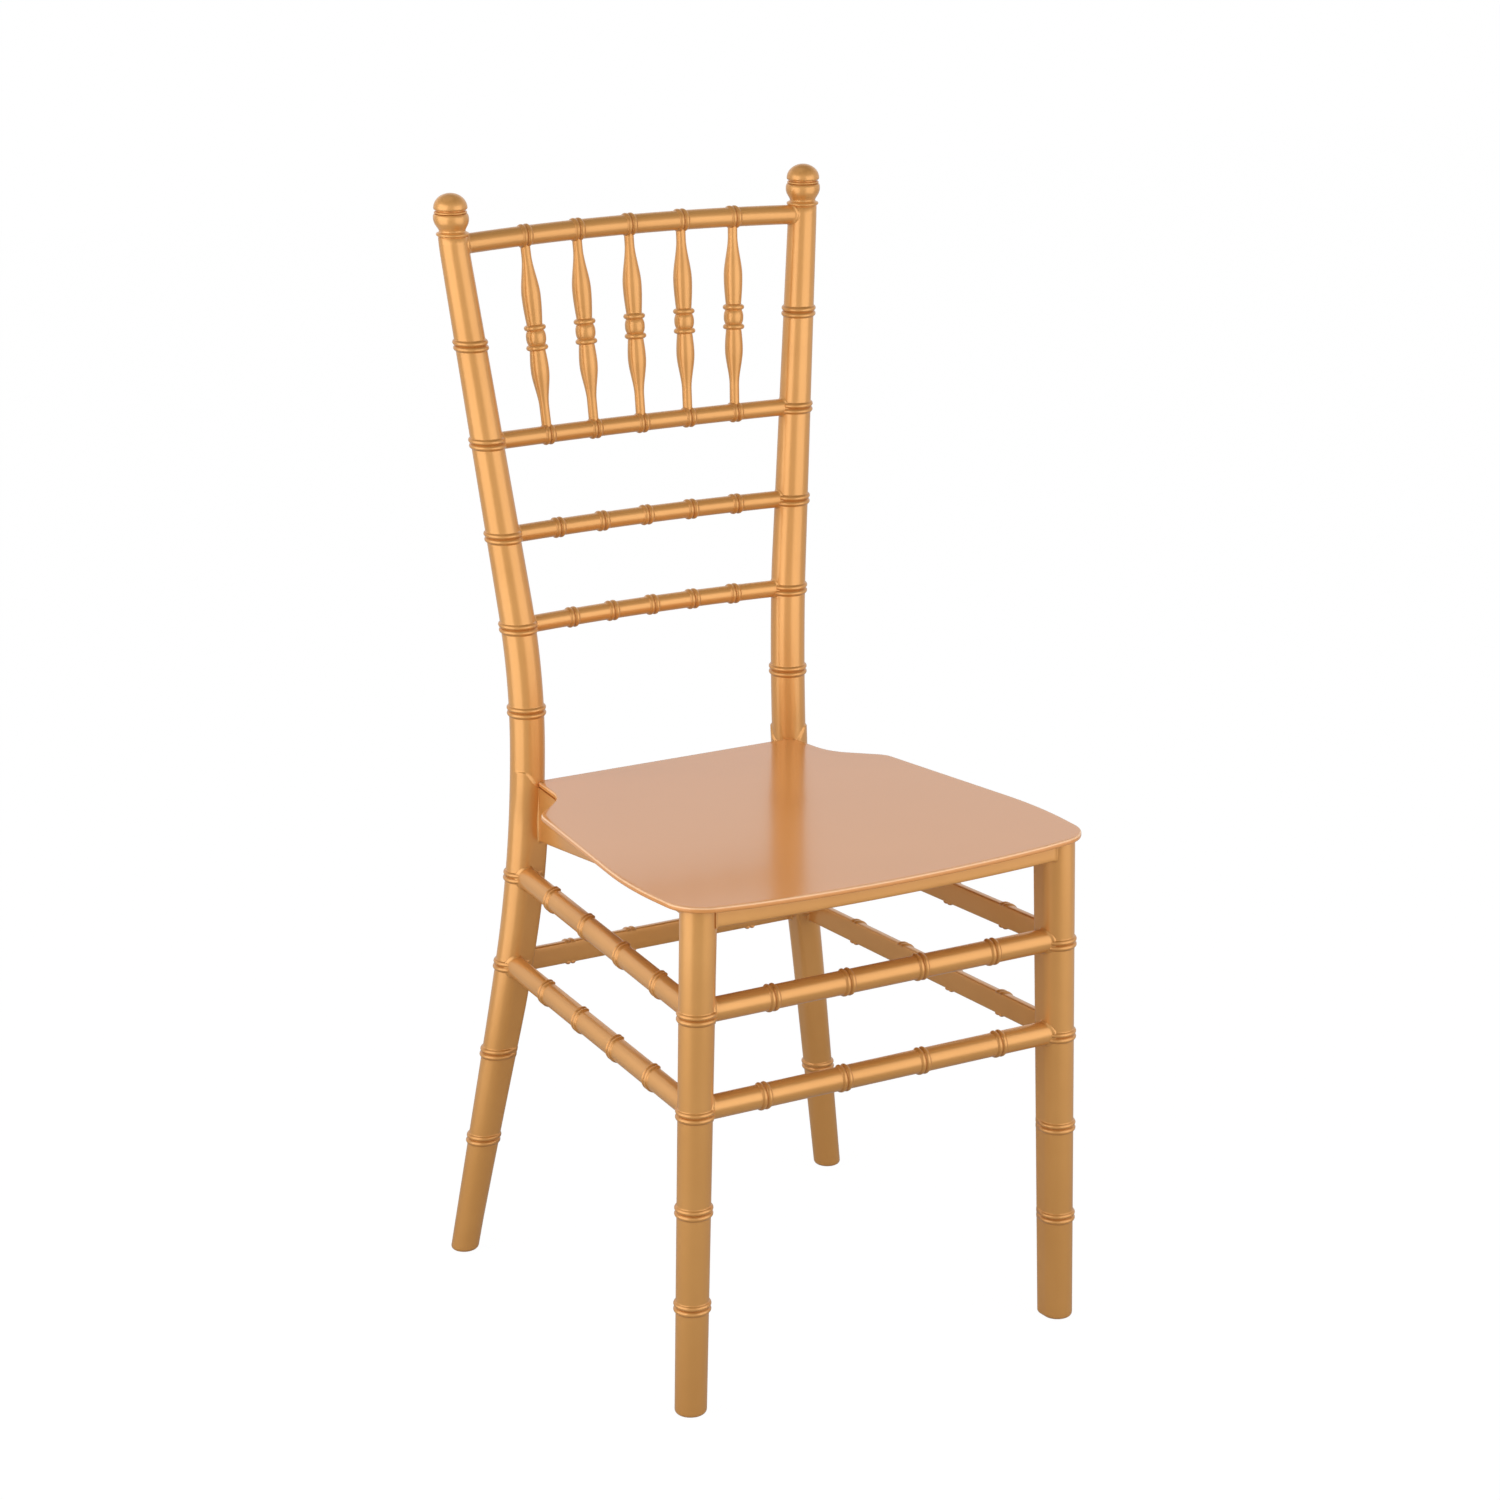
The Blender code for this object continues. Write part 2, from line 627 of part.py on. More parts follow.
def add_lug(board, x, y, toward):
    """Screw lug standing out from a board in the given direction, with a clearance hole."""
    depth = SCREW_INSET + OVERLAP
    near = Vector((x, y)) - Vector(toward) * depth
    far = Vector((x, y)) + Vector(toward) * LUG_HALF
    wide = Vector((abs(toward[1]), abs(toward[0]))) * LUG_HALF
    low = (min(near.x, far.x) - wide.x, min(near.y, far.y) - wide.y, LUG_BOTTOM)
    high = (max(near.x, far.x) + wide.x, max(near.y, far.y) + wide.y, LUG_TOP)
    cut(board, box(low, high), "UNION")
    hole = SCREW_R + 2.0 * GAP
    cut(board, rod(x, y, ((LUG_BOTTOM - TOOL_REACH, hole), (LUG_TOP + TOOL_REACH, hole))))


def make_front_apron(legs, material):
    """Bowed board under the front edge of the seat; returns its screw places too."""
    end = FRONT_TOP_X - APRON_END
    bottom = FRAME_TOP - APRON_FRONT_DROP
    segments = 8

    def section(x, grow=0.0, top=FRAME_TOP):
        return board_section("X", x, front_apron_y(x), bottom, top, grow)

    places = [mix(-end, end, i / segments) for i in range(segments + 1)]
    apron = loft("front_apron", [section(x) for x in places], material)
    for side, leg in zip((-1.0, 1.0), legs):
        places = (side * (end + GAP), side * (end - TOOL_REACH))
        cut(leg, loft("tool", [section(x, GAP, FRAME_TOP + TOOL_REACH) for x in places]))
    spots = []
    for x in (-SCREW_SPREAD, SCREW_SPREAD):
        spots.append((x, front_apron_y(x) + APRON_THICKNESS / 2.0 + SCREW_INSET))
        add_lug(apron, *spots[-1], (0.0, 1.0))
    return spots


def make_side_apron(name, side, legs, material):
    """Board from a front leg to a rear post, deeper at the back; returns it and its screw places."""
    start = FRONT_LEG_Y + APRON_END
    end = POST_Y - APRON_END
    knee = POST_Y - APRON_DEEP_RUN

    def section(y, grow=0.0, top=FRAME_TOP):
        bottom = FRAME_TOP - mix(APRON_FRONT_DROP, APRON_REAR_DROP, clamp((y - knee) / APRON_DEEP_RUN))
        return board_section("Y", y, side * side_apron_x(y), bottom, top, grow)

    apron = loft(name, [section(start), section(knee), section(end)], material)
    front_leg, post = legs
    above = FRAME_TOP + TOOL_REACH
    cut(front_leg, loft("tool", [section(y, GAP, above) for y in (start - GAP, start + TOOL_REACH)]))
    cut(post, loft("tool", [section(y, GAP, FRAME_TOP + GAP) for y in (end + GAP, end - TOOL_REACH)]))
    spots = []
    for y in (FRONT_LEG_Y + SCREW_BEHIND, POST_Y - SCREW_AHEAD):
        x = side_apron_x(y) - APRON_THICKNESS / 2.0 - SCREW_INSET
        spots.append((side * x, y))
        add_lug(apron, *spots[-1], (-side, 0.0))
    return apron, spots


def make_crossbar(aprons, material):
    """Board between the side aprons, in front of the posts; returns its screw places."""
    y = POST_Y - CROSSBAR_AHEAD
    end = side_apron_x(y) - APRON_THICKNESS / 2.0 + CROSSBAR_HOUSING
    bottom = FRAME_TOP - CROSSBAR_DROP

    def section(x, grow=0.0, top=FRAME_TOP):
        return board_section("X", x, y, bottom, top, grow)

    bar = loft("rear_crossbar", [section(-end), section(end)], material)
    for side, apron in zip((-1.0, 1.0), aprons):
        places = (side * (end + GAP), side * (end - TOOL_REACH))
        cut(apron, loft("tool", [section(x, GAP, FRAME_TOP + TOOL_REACH) for x in places]))
    spots = []
    for x in (-SCREW_SPREAD, SCREW_SPREAD):
        spots.append((x, y - APRON_THICKNESS / 2.0 - SCREW_INSET))
        add_lug(bar, *spots[-1], (0.0, -1.0))
    return spots


def fillet(before, corner, after, radius, steps):
    """Points of a round corner between two straight lines, limited by their lengths."""
    c = Vector(corner)
    a = Vector(before) - c
    b = Vector(after) - c
    half = a.angle(b) / 2.0
    run = min(radius / math.tan(half), 0.49 * min(a.length, b.length))
    a.normalize()
    b.normalize()
    centre = c + (a + b).normalized() * (run / math.cos(half))
    first = c + a * run - centre
    last = c + b * run - centre
    turn = math.atan2(first.x * last.y - first.y * last.x, first.dot(last))
    points = []
    for i in range(steps + 1):
        cos = math.cos(turn * i / steps)
        sin = math.sin(turn * i / steps)
        points.append((centre.x + first.x * cos - first.y * sin, centre.y + first.x * sin + first.y * cos))
    return points


def half_outline():
    """Right half of the seat outline from the middle of the front to the middle of the rear."""
    bend_y = FRONT_LEG_Y + SIDE_BEND_BEHIND
    rear_y = POST_Y - REAR_CORNER_AHEAD
    corner_x = FRONT_TOP_X + FRONT_CORNER_OUT
    corners = (
        ((corner_x, FRONT_LEG_Y - FRONT_CORNER_AHEAD), FRONT_CORNER_R, 5),
        ((side_line_x(bend_y) + SIDE_BEND_OUT, bend_y), SIDE_BEND_R, 3),
        ((side_line_x(rear_y) + REAR_CORNER_OUT, rear_y), REAR_CORNER_R, 4),
        ((POST_X + NOTCH_OUT, POST_Y - NOTCH_AHEAD), NOTCH_R, 4),
    )
    points = []
    for share in (0.0, 0.25, 0.5, 0.72):
        x = corner_x * share
        points.append((x, FRONT_LEG_Y - LIP_AHEAD + FRONT_BOW * (x / LIP_BOW_WIDTH) ** 2))
    clear = POST_SEAT_R + POST_CLEARANCE
    end = (POST_X - NOTCH_END_IN, POST_Y - math.sqrt(clear ** 2 - NOTCH_END_IN ** 2))
    chain = [points[-1]] + [corner for corner, radius, steps in corners] + [end]
    for i, (corner, radius, steps) in enumerate(corners):
        points += fillet(chain[i], corner, chain[i + 2], radius, steps)
    points.append(end)
    tail = math.asin(LIP_REAR_AHEAD / clear)
    points.append((POST_X - clear * math.cos(tail), POST_Y - LIP_REAR_AHEAD))
    return points


def seat_outline():
    right = half_outline()
    left = [(-x, y) for x, y in reversed(right[1:])]
    return right + left


def shrink(points, amount):
    """Move each outline point inward by an amount along its corner bisector."""
    moved = []
    for i, point in enumerate(points):
        p = Vector(point)
        a = (p - Vector(points[i - 1])).normalized()
        b = (Vector(points[(i + 1) % len(points)]) - p).normalized()
        normal = Vector((-a.y - b.y, a.x + b.x)).normalized()
        scale = max(0.5, normal.dot(Vector((-a.y, a.x))))
        moved.append(tuple(p + normal * (amount / scale)))
    return moved


def make_panel(spots, material):
    """Seat panel with a rounded lip, stiffening ribs and screw bosses underneath."""
    outline = seat_outline()
    inner = shrink(outline, LIP_ROUND)
    layers = (
        (PANEL_UNDER, inner),
        (PANEL_UNDER + LIP_ROUND, outline),
        (SEAT_HEIGHT - LIP_ROUND, outline),
        (SEAT_HEIGHT, inner),
    )
    panel = loft("seat_panel", [[(x, y, z) for x, y in loop] for z, loop in layers], material)
    low = PANEL_UNDER - RIB_DEPTH
    high = PANEL_UNDER + OVERLAP
    half = RIB_THICKNESS / 2.0
    inset = APRON_THICKNESS / 2.0 + RIB_CLEARANCE
    front = FRONT_LEG_Y - FRONT_APRON_AHEAD + inset
    back = POST_Y - CROSSBAR_AHEAD - inset
    for x in (-RIB_SPACING, 0.0, RIB_SPACING):
        cut(panel, box((x - half, front, low), (x + half, back, high)), "UNION")
    for i in range(CROSS_RIBS):
        y = mix(front, back, (i + 1) / (CROSS_RIBS + 1))
        reach = side_apron_x(y) - inset
        cut(panel, box((-reach, y - half, low), (reach, y + half, high)), "UNION")
    base = PANEL_UNDER - BOSS_DEPTH
    hole = SCREW_R + GAP
    for x, y in spots:
        cut(panel, rod(x, y, ((base, BOSS_R), (high, BOSS_R))), "UNION")
        cut(panel, rod(x, y, ((base - TOOL_REACH, hole), (base + SCREW_BITE + GAP, hole))))


def make_screws(spots, material):
    """Pan-head screws up through the lugs into the bosses."""
    shank = GAP + LUG_THICKNESS + GAP + SCREW_BITE
    steps = (
        (-SCREW_HEAD_HEIGHT, SCREW_HEAD_R * 0.62),
        (-SCREW_HEAD_HEIGHT * 0.55, SCREW_HEAD_R),
        (0.0, SCREW_HEAD_R),
        (0.0, SCREW_R),
        (shank - SCREW_POINT, SCREW_R),
        (shank, SCREW_R * 0.3),
    )
    for i, (x, y) in enumerate(spots):
        turned("seat_screw_%d" % (i + 1), steps, RAIL_SIDES, material, (x, y, LUG_BOTTOM - GAP))


def make_glides(material):
    """Nylon pads on stems pressed into the four feet."""
    number = 1
    for axis, foot_radius in ((front_leg_axis, FRONT_FOOT_R), (post_axis, POST_FOOT_R)):
        pad = foot_radius - GLIDE_RIM
        x, y = axis(0.0)
        steps = (
            (0.0, pad - GLIDE_EDGE),
            (GLIDE_EDGE, pad),
            (GLIDE_PAD_HEIGHT, pad),
            (GLIDE_PAD_HEIGHT, GLIDE_STEM_R),
            (GLIDE_STEM_TOP, GLIDE_STEM_R),
        )
        for side in (-1.0, 1.0):
            turned("foot_glide_%d" % number, steps, RAIL_SIDES, material, (side * x, y, 0.0))
            number += 1


def make_back(posts, material):
    """Four rails between the posts, with spindles between the upper two."""
    top = make_back_rail("top_rail", TOP_RAIL, posts, material)
    lower = make_back_rail("spindle_rail", SPINDLE_RAIL, posts, material)
    make_back_rail("back_slat_upper", UPPER_SLAT, posts, material)
    make_back_rail("back_slat_lower", LOWER_SLAT, posts, material)
    for i, place in enumerate(spread(1.0, SPINDLE_COUNT)):
        make_spindle("spindle_%d" % (i + 1), place, (lower, top), material)


def make_seat_rails(front_legs, posts, material):
    """Two rails at the front and each side, and one at the rear."""
    fronts = (("upper", UPPER_RAIL_Z, FRONT_UPPER_PITCH), ("lower", LOWER_RAIL_Z, FRONT_LOWER_PITCH))
    for level, z, pitch in fronts:
        make_cross_rail("front_rail_" + level, z, front_leg_axis, -1.0, pitch, front_legs, material)
    make_cross_rail("rear_rail", LOWER_RAIL_BACK_Z, post_axis, 1.0, REAR_PITCH, posts, material)
    levels = (
        ("upper", UPPER_RAIL_Z, UPPER_RAIL_BACK_Z, SIDE_UPPER_PITCH),
        ("lower", LOWER_RAIL_Z, LOWER_RAIL_BACK_Z, SIDE_LOWER_PITCH),
    )
    for side, word, legs in zip((-1.0, 1.0), ("left", "right"), zip(front_legs, posts)):
        for level, front_z, back_z, pitch in levels:
            make_side_rail(word + "_rail_" + level, side, front_z, back_z, pitch, legs, material)


def make_seat_frame(front_legs, posts, material):
    """Aprons and crossbar under the seat; returns the places of the seat screws."""
    spots = make_front_apron(front_legs, material)
    aprons = []
    for side, word, legs in zip((-1.0, 1.0), ("left", "right"), zip(front_legs, posts)):
        apron, more = make_side_apron(word + "_apron", side, legs, material)
        aprons.append(apron)
        spots += more
    return spots + make_crossbar(aprons, material)


def build():
    clear_scene()
    gold = make_material("gold_plastic", (0.66, 0.36, 0.10), 0.34)
    seat_gold = make_material("gold_plastic_seat", (0.66, 0.36, 0.12), 0.28)
    steel = make_material("zinc_steel", (0.62, 0.62, 0.60), 0.35, 1.0)
    nylon = make_material("glide_nylon", (0.05, 0.05, 0.05), 0.60)

    posts = [make_post("rear_leg_left", -1.0, gold), make_post("rear_leg_right", 1.0, gold)]
    front_legs = [make_front_leg("front_leg_left", -1.0, gold), make_front_leg("front_leg_right", 1.0, gold)]
    make_cap("post_cap_left", -1.0, gold)
    make_cap("post_cap_right", 1.0, gold)
    make_back(posts, gold)
    make_seat_rails(front_legs, posts, gold)
    spots = make_seat_frame(front_legs, posts, gold)
    make_panel(spots, seat_gold)
    make_screws(spots, steel)
    make_glides(nylon)
    for item in bpy.data.objects:
        item.data.shade_smooth()
        item.data.set_sharp_from_angle(angle=SHARP_ANGLE)


build()
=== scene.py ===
"""Looks of the gold plastic banquet chair, standing in a white studio."""
import math
from collections import namedtuple

import bmesh
import bpy
from mathutils import Euler, Matrix, Vector


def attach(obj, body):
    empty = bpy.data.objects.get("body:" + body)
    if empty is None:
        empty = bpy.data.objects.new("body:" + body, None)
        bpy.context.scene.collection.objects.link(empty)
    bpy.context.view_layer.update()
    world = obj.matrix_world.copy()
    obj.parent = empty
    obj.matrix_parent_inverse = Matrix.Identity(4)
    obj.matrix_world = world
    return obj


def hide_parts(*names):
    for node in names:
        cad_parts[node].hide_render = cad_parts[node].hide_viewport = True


# Overall sizes: heights, and the distance from the front legs' axes back to the posts' axes
SEAT_HEIGHT = 0.428
BACK_HEIGHT = 0.492
LEG_SPAN = 0.3537
GAP = 0.0003

# Front legs: nearly upright, round outside, square at the inner corner
FRONT_LEG_Y = -0.187
FRONT_FOOT_X = 0.1772
FRONT_TOP_X = 0.1672
FRONT_FOOT_R = 0.0129
FRONT_TOP_R = 0.0146
FRONT_FOOT_SQUARE = 0.83
FRONT_LOW_RING = 0.0932
FRONT_RING_SAG = 0.0022
CORNER_SHARPNESS = 0.83

# Rear posts: splayed foot, upright at the seat, flared back
POST_X = 0.1285
SPLAY_SLOPE_X = 0.155
SPLAY_SLOPE_Y = 0.088
SPLAY_DROP_X = 0.051
SPLAY_DROP_Y = 0.133
SPLAY_BLEND = 0.100
FLARE_SLOPE_X = 0.110
FLARE_SLOPE_Y = 0.1065
FLARE_RISE_X = 0.102
FLARE_RISE_Y = 0.077
FLARE_BLEND = 0.055
POST_FOOT_R = 0.0120
POST_SEAT_R = 0.0148
POST_TOP_R = 0.0122
TAPER_DROP = 0.090
TAPER_RISE = 0.151
POST_LOW_RING = 0.106
SEAT_RING_RISE = 0.060
SQUARE_START = 0.030
SQUARE_RUN = 0.200
SQUARE_FADE = 0.012
FOOT_ROUND = 0.0035

# Sleeve edge moulded around each post at the seat: its step, and how its height changes around the post
SLEEVE_STEP = 0.0013
SLEEVE_LOW = -0.003
SLEEVE_HIGH = 0.0098
SLEEVE_FROM = math.radians(30)
SLEEVE_TO = math.radians(85)
SLEEVE_THIN_FROM = math.radians(95)
SLEEVE_THIN_TO = math.radians(125)
SLEEVE_EDGE = 0.0012
SLEEVE_FADE = 0.040

# Turned tip of the rear posts, measured down from the top
TIP_DROP = 0.044
TIP_BLEND = 0.008
TIP_EASE_SHARE = 0.45
COLLAR_DROP = 0.0333
COLLAR_HALF = 0.0012
GROOVE_DROP = 0.0166
CAP_STEM_R = 0.0045
CAP_STEM_DEPTH = 0.014

# Rings: pairs of beads on legs and rails, fading out over a leg's square corner
RING_HALF = 0.0047
LEG_RING_RISE = 0.0018
RAIL_RING_RISE = 0.0015
RINGS_PER_BACK_RAIL = 5
RINGS_PER_SEAT_RAIL = 4
RING_VALLEY = 0.05
RING_ROUNDNESS = 0.65
RING_FADE_FROM = math.radians(5)
RING_FADE_TO = math.radians(40)

# Round rails of the back
LOWER_SLAT_RISE = 0.1314
LOWER_SLAT_BOW = 0.0081
LOWER_SLAT_PITCH = 0.0394
UPPER_SLAT_RISE = 0.2083
UPPER_SLAT_BOW = 0.0080
UPPER_SLAT_PITCH = 0.0432
SPINDLE_RAIL_RISE = 0.2869
SPINDLE_RAIL_BOW = 0.0058
SPINDLE_RAIL_PITCH = 0.0453
TOP_RAIL_DROP = 0.0428
TOP_RAIL_BOW = 0.0075
TOP_RAIL_ARCH = 0.0033
TOP_RAIL_PITCH = 0.0499
TOP_RAIL_R = 0.0083
BACK_RAIL_R = 0.0073
RAIL_END = 0.005

# Spindles
SPINDLE_COUNT = 5
SPINDLE_NECK_R = 0.0041
SPINDLE_SHOULDER_R = 0.0066
SPINDLE_GROOVE_R = 0.0070
SPINDLE_BALL_R = 0.0084
SPINDLE_BEAD_R = 0.0092
SPINDLE_BEAD_AT = 0.0083
SPINDLE_BEAD_HALF = 0.0023
SPINDLE_TENON = 0.001
SPINDLE_BALL_SAG = 0.0016
SPINDLE_BALL_POWER = 2.5
SPINDLE_UPPER_R = 0.0080
SPINDLE_UPPER_WIDEST = 0.32
SPINDLE_UPPER_NECK = 0.78
SPINDLE_LOWER_R = 0.0077
SPINDLE_LOWER_WIDEST = 0.23
SPINDLE_LOWER_NECK = 0.66

# Rails under the seat
SEAT_RAIL_R = 0.0098
SEAT_RAIL_FLAT = 0.003
SEAT_RAIL_CORNER = 0.0018
UPPER_RAIL_DROP = 0.0910
LOWER_RAIL_DROP = 0.1713
UPPER_RAIL_RISE = 0.007
LOWER_RAIL_RISE = 0.0085
FRONT_UPPER_PITCH = 0.069
FRONT_LOWER_PITCH = 0.074
REAR_PITCH = 0.060
SIDE_UPPER_PITCH = 0.072
SIDE_LOWER_PITCH = 0.068
SIDE_RINGS_AHEAD = 0.004
CORNER_RING_STEPS = 4

# Seat frame
APRON_THICKNESS = 0.006
APRON_FRONT_DROP = 0.0158
APRON_REAR_DROP = 0.0503
APRON_DEEP_RUN = 0.2327
APRON_KNEE_BLEND = 0.030
APRON_REAR_IN = 0.0065
APRON_END = 0.008
APRON_EDGE = 0.0015
FRONT_APRON_AHEAD = 0.008
FRONT_BOW = 0.008
CROSSBAR_AHEAD = 0.0317
CROSSBAR_DROP = 0.026
CROSSBAR_HOUSING = 0.0025

# Seat panel, and the corners of its outline
PANEL_THICKNESS = 0.0045
LIP_ROUND = 0.0014
LIP_BORDER = 0.0030
LIP_AHEAD = 0.0366
LIP_BOW_WIDTH = 0.130
LIP_BOW_SHARE = 0.72
LIP_BOW_STEPS = 12
FRONT_CORNER_OUT = 0.0216
FRONT_CORNER_AHEAD = 0.0182
FRONT_CORNER_R = 0.043
FRONT_CORNER_STEPS = 14
SIDE_BEND_OUT = 0.0351
SIDE_BEND_BEHIND = 0.0631
SIDE_BEND_R = 0.750
SIDE_BEND_STEPS = 10
REAR_CORNER_OUT = 0.0296
REAR_CORNER_AHEAD = 0.0977
REAR_CORNER_R = 0.020
REAR_CORNER_STEPS = 12
NOTCH_OUT = 0.0035
NOTCH_AHEAD = 0.0627
NOTCH_R = 0.045
NOTCH_STEPS = 12
NOTCH_END_IN = 0.003
NOTCH_END_STEPS = 8
LIP_REAR_AHEAD = 0.0109
POST_BITE = 0.0002
CORNER_RUN_LIMIT = 0.49
MITRE_LIMIT = 0.5

# Ribs under the panel
RIB_THICKNESS = 0.0024
RIB_DEPTH = 0.008
RIB_SPACING = 0.080
RIB_CLEARANCE = 0.006
CROSS_RIBS = 2

# Seat screws, bosses and lugs
SCREW_SPREAD = 0.040
SCREW_BEHIND = 0.057
SCREW_AHEAD = 0.0847
SCREW_INSET = 0.008
SCREW_R = 0.0017
SCREW_HEAD_R = 0.0036
SCREW_HEAD_HEIGHT = 0.0024
SCREW_BITE = 0.0080
SCREW_POINT = 0.002
SCREW_SLOT_WIDTH = 0.0008
SCREW_SLOT_LENGTH = 0.0036
SCREW_SLOT_DEPTH = 0.0012
SCREW_HEAD_CROWN = 0.25
SCREW_HEAD_POLE = 0.05
SCREW_HEAD_STEPS = 6
SCREW_TIP_SHARE = 0.3
SCREW_SIDES = 24
BOSS_R = 0.0055
BOSS_DEPTH = 0.008
LUG_THICKNESS = 0.0035
LUG_HALF = 0.007

# Glides pressed into the feet
GLIDE_RIM = 0.0059
GLIDE_PAD_HEIGHT = 0.0035
GLIDE_EDGE = 0.0008
GLIDE_EDGE_STEPS = 4
GLIDE_STEM_R = 0.0035
GLIDE_STEM_TOP = 0.016
FOOT_CLEARANCE = 0.0015

# Soft fillets where sticks meet, cutting reach, and how finely skins are divided
STICK_FILLET = 0.0018
APRON_FILLET = 0.0022
FRONT_APRON_EASE = 0.0012
TOOL_REACH = 0.012
OVERLAP = 0.001
SHOULDER_STEP = GAP * 0.1
COARSE_STEP = 0.006
FINE_STEP = 0.0005
MERGE_STEP = FINE_STEP * 0.3
RING_STEPS = 30
RING_MARGIN = 1.15
FOOT_STEPS = 6
BOARD_STEPS = 6
EDGE_STEPS = 5
RAIL_SIDES = 32
TURNED_SIDES = 40
SHARP_ANGLE = math.radians(55)

# Angles around a leg, in degrees from its inner corner: at the corner, over the sleeve's slope, beyond it
CORNER_TURNS = (0, 2, 4, 7, 11, 16, 21)
SLEEVE_TURNS = range(25, 90, 4)
OUTER_TURNS = range(100, 181, 10)

# Gold pearl plastic of the frame and of the seat, whose lip has a painted highlight line at its upper edge
Gold = namedtuple("Gold", "name deep light groove rough flow_scale lustre lip")
# Painted shade: the darker colour that ring grooves and bead flanks are mixed towards
GROOVE_PAINTED_SHADE_TONE = (0.50, 0.20, 0.040)
FRAME_GOLD = Gold(
    name="gold_pearl", deep=(0.67, 0.312, 0.078), light=(0.765, 0.375, 0.107), groove=GROOVE_PAINTED_SHADE_TONE,
    rough=(0.29, 0.31), flow_scale=9.0, lustre=0.40, lip=None,
)
# Seat's copy of the plastic: glossier and less metallic, and its colour set apart from the frame's to
# match how light falls on the seat's top, which is painted light
SEAT_GOLD = Gold(
    name="gold_pearl_seat", deep=(0.73, 0.300, 0.080), light=(0.78, 0.325, 0.090), groove=GROOVE_PAINTED_SHADE_TONE,
    # lip: colour of the painted highlight line along the lip's upper edge
    rough=(0.18, 0.22), flow_scale=5.0, lustre=0.1, lip=(1.0, 0.60, 0.32),
)

# Painted highlight line of the lip: where it starts and ends, as shares of the lip's round
LIP_HIGHLIGHT_LOW = 0.6
LIP_HIGHLIGHT_HIGH = 0.1

# Flow marks, painted shade in ring grooves, grain, bump and gloss of the plastic
FLOW_SPREAD = (-0.35, 1.35)
# Strength of the painted shade in the ring grooves
GROOVE_PAINTED_SHADE_STRENGTH = 2.2
GRAIN_SCALE = 2600.0
PEEL_SCALE_SHARE = 0.12
GRAIN_HEIGHT = 0.2
PEEL_HEIGHT = 0.4
PEARL_BUMP = 0.05
PEARL_BUMP_DEPTH = 0.0001
PLASTIC_IOR = 1.5
COAT_WEIGHT = 0.3
COAT_ROUGHNESS = 0.12

# Plated screws and nylon glides, each with a fine grain
Grained = namedtuple("Grained", "name scale detail dark pale rough bump bump_depth metallic")
ZINC = Grained(
    name="zinc_plate", scale=900.0, detail=3.0, dark=(0.56, 0.56, 0.54), pale=(0.68, 0.68, 0.66),
    rough=(0.28, 0.44), bump=0.12, bump_depth=0.0002, metallic=1.0,
)
NYLON = Grained(
    name="black_nylon", scale=1400.0, detail=2.0, dark=(0.040, 0.040, 0.040), pale=(0.062, 0.062, 0.060),
    rough=(0.52, 0.68), bump=0.2, bump_depth=0.0003, metallic=0.0,
)

# Camera
CAMERA_PLACE = (-1.5398, -2.571, 1.3559)
CAMERA_TILT = math.radians(73.62)
CAMERA_TURN = math.radians(-30.76)
CAMERA_ROLL = math.radians(-0.14)
CAMERA_LENS = 91.22
SENSOR_WIDTH = 36.0

# Studio: lamps, the floor's paint, glow and painted shade in its reflections, and a white backdrop in a
# dimmer room
Lamp = namedtuple("Lamp", "name place width height watts")
LAMPS = (
    Lamp("left_softbox", (-1.21, -0.02, 0.75), 1.5, 1.6, 10.2),
    Lamp("right_softbox", (0.61, -1.17, 0.75), 1.7, 1.6, 9.0),
    Lamp("top_softbox", (-0.4, 0.5, 2.8), 1.6, 1.6, 2.5),
)
AIM = Vector((0.0, 0.0, 0.60))
WHITE = (1.0, 1.0, 1.0, 1.0)
FLOOR_HALF = 6.0
FLOOR_PAINT = (0.38, 0.38, 0.38, 1.0)
FLOOR_GLOW = 1.06
FLOOR_SEEN_SHARE = 0.93
# Painted shade in the floor's reflections: its glow share from near the chair out into the room
FLOOR_PAINTED_REFLECTION_RUN = (0.5, 1.3)
FLOOR_PAINTED_REFLECTION = (0.12, 0.45)
BACKDROP_WAY = (0.25, 0.97, 0.0)
BACKDROP_EDGE = (0.4, 0.8)
BACKDROP_FOOT = (0.16, 0.26)
BACKDROP_LIGHT = 1.0
ROOM_LIGHT = 0.8
CEILING_EDGE = (0.4, 0.9)
CEILING_SHARE = 0.25

# Places worked out from the sizes above
QUARTER = math.pi / 4.0
POST_Y = FRONT_LEG_Y + LEG_SPAN
TOP = SEAT_HEIGHT + BACK_HEIGHT
PANEL_UNDER = SEAT_HEIGHT - PANEL_THICKNESS
FRAME_TOP = PANEL_UNDER - GAP
SPLAY_BENDS = (SEAT_HEIGHT - SPLAY_DROP_X, SEAT_HEIGHT - SPLAY_DROP_Y)
FLARE_BENDS = (SEAT_HEIGHT + FLARE_RISE_X, SEAT_HEIGHT + FLARE_RISE_Y)
COLLAR_Z = TOP - COLLAR_DROP
GROOVE_Z = TOP - GROOVE_DROP
UPPER_RAIL_Z = SEAT_HEIGHT - UPPER_RAIL_DROP
LOWER_RAIL_Z = SEAT_HEIGHT - LOWER_RAIL_DROP
UPPER_RAIL_BACK_Z = UPPER_RAIL_Z + UPPER_RAIL_RISE
LOWER_RAIL_BACK_Z = LOWER_RAIL_Z + LOWER_RAIL_RISE
LUG_TOP = PANEL_UNDER - BOSS_DEPTH - GAP
LUG_BOTTOM = LUG_TOP - LUG_THICKNESS

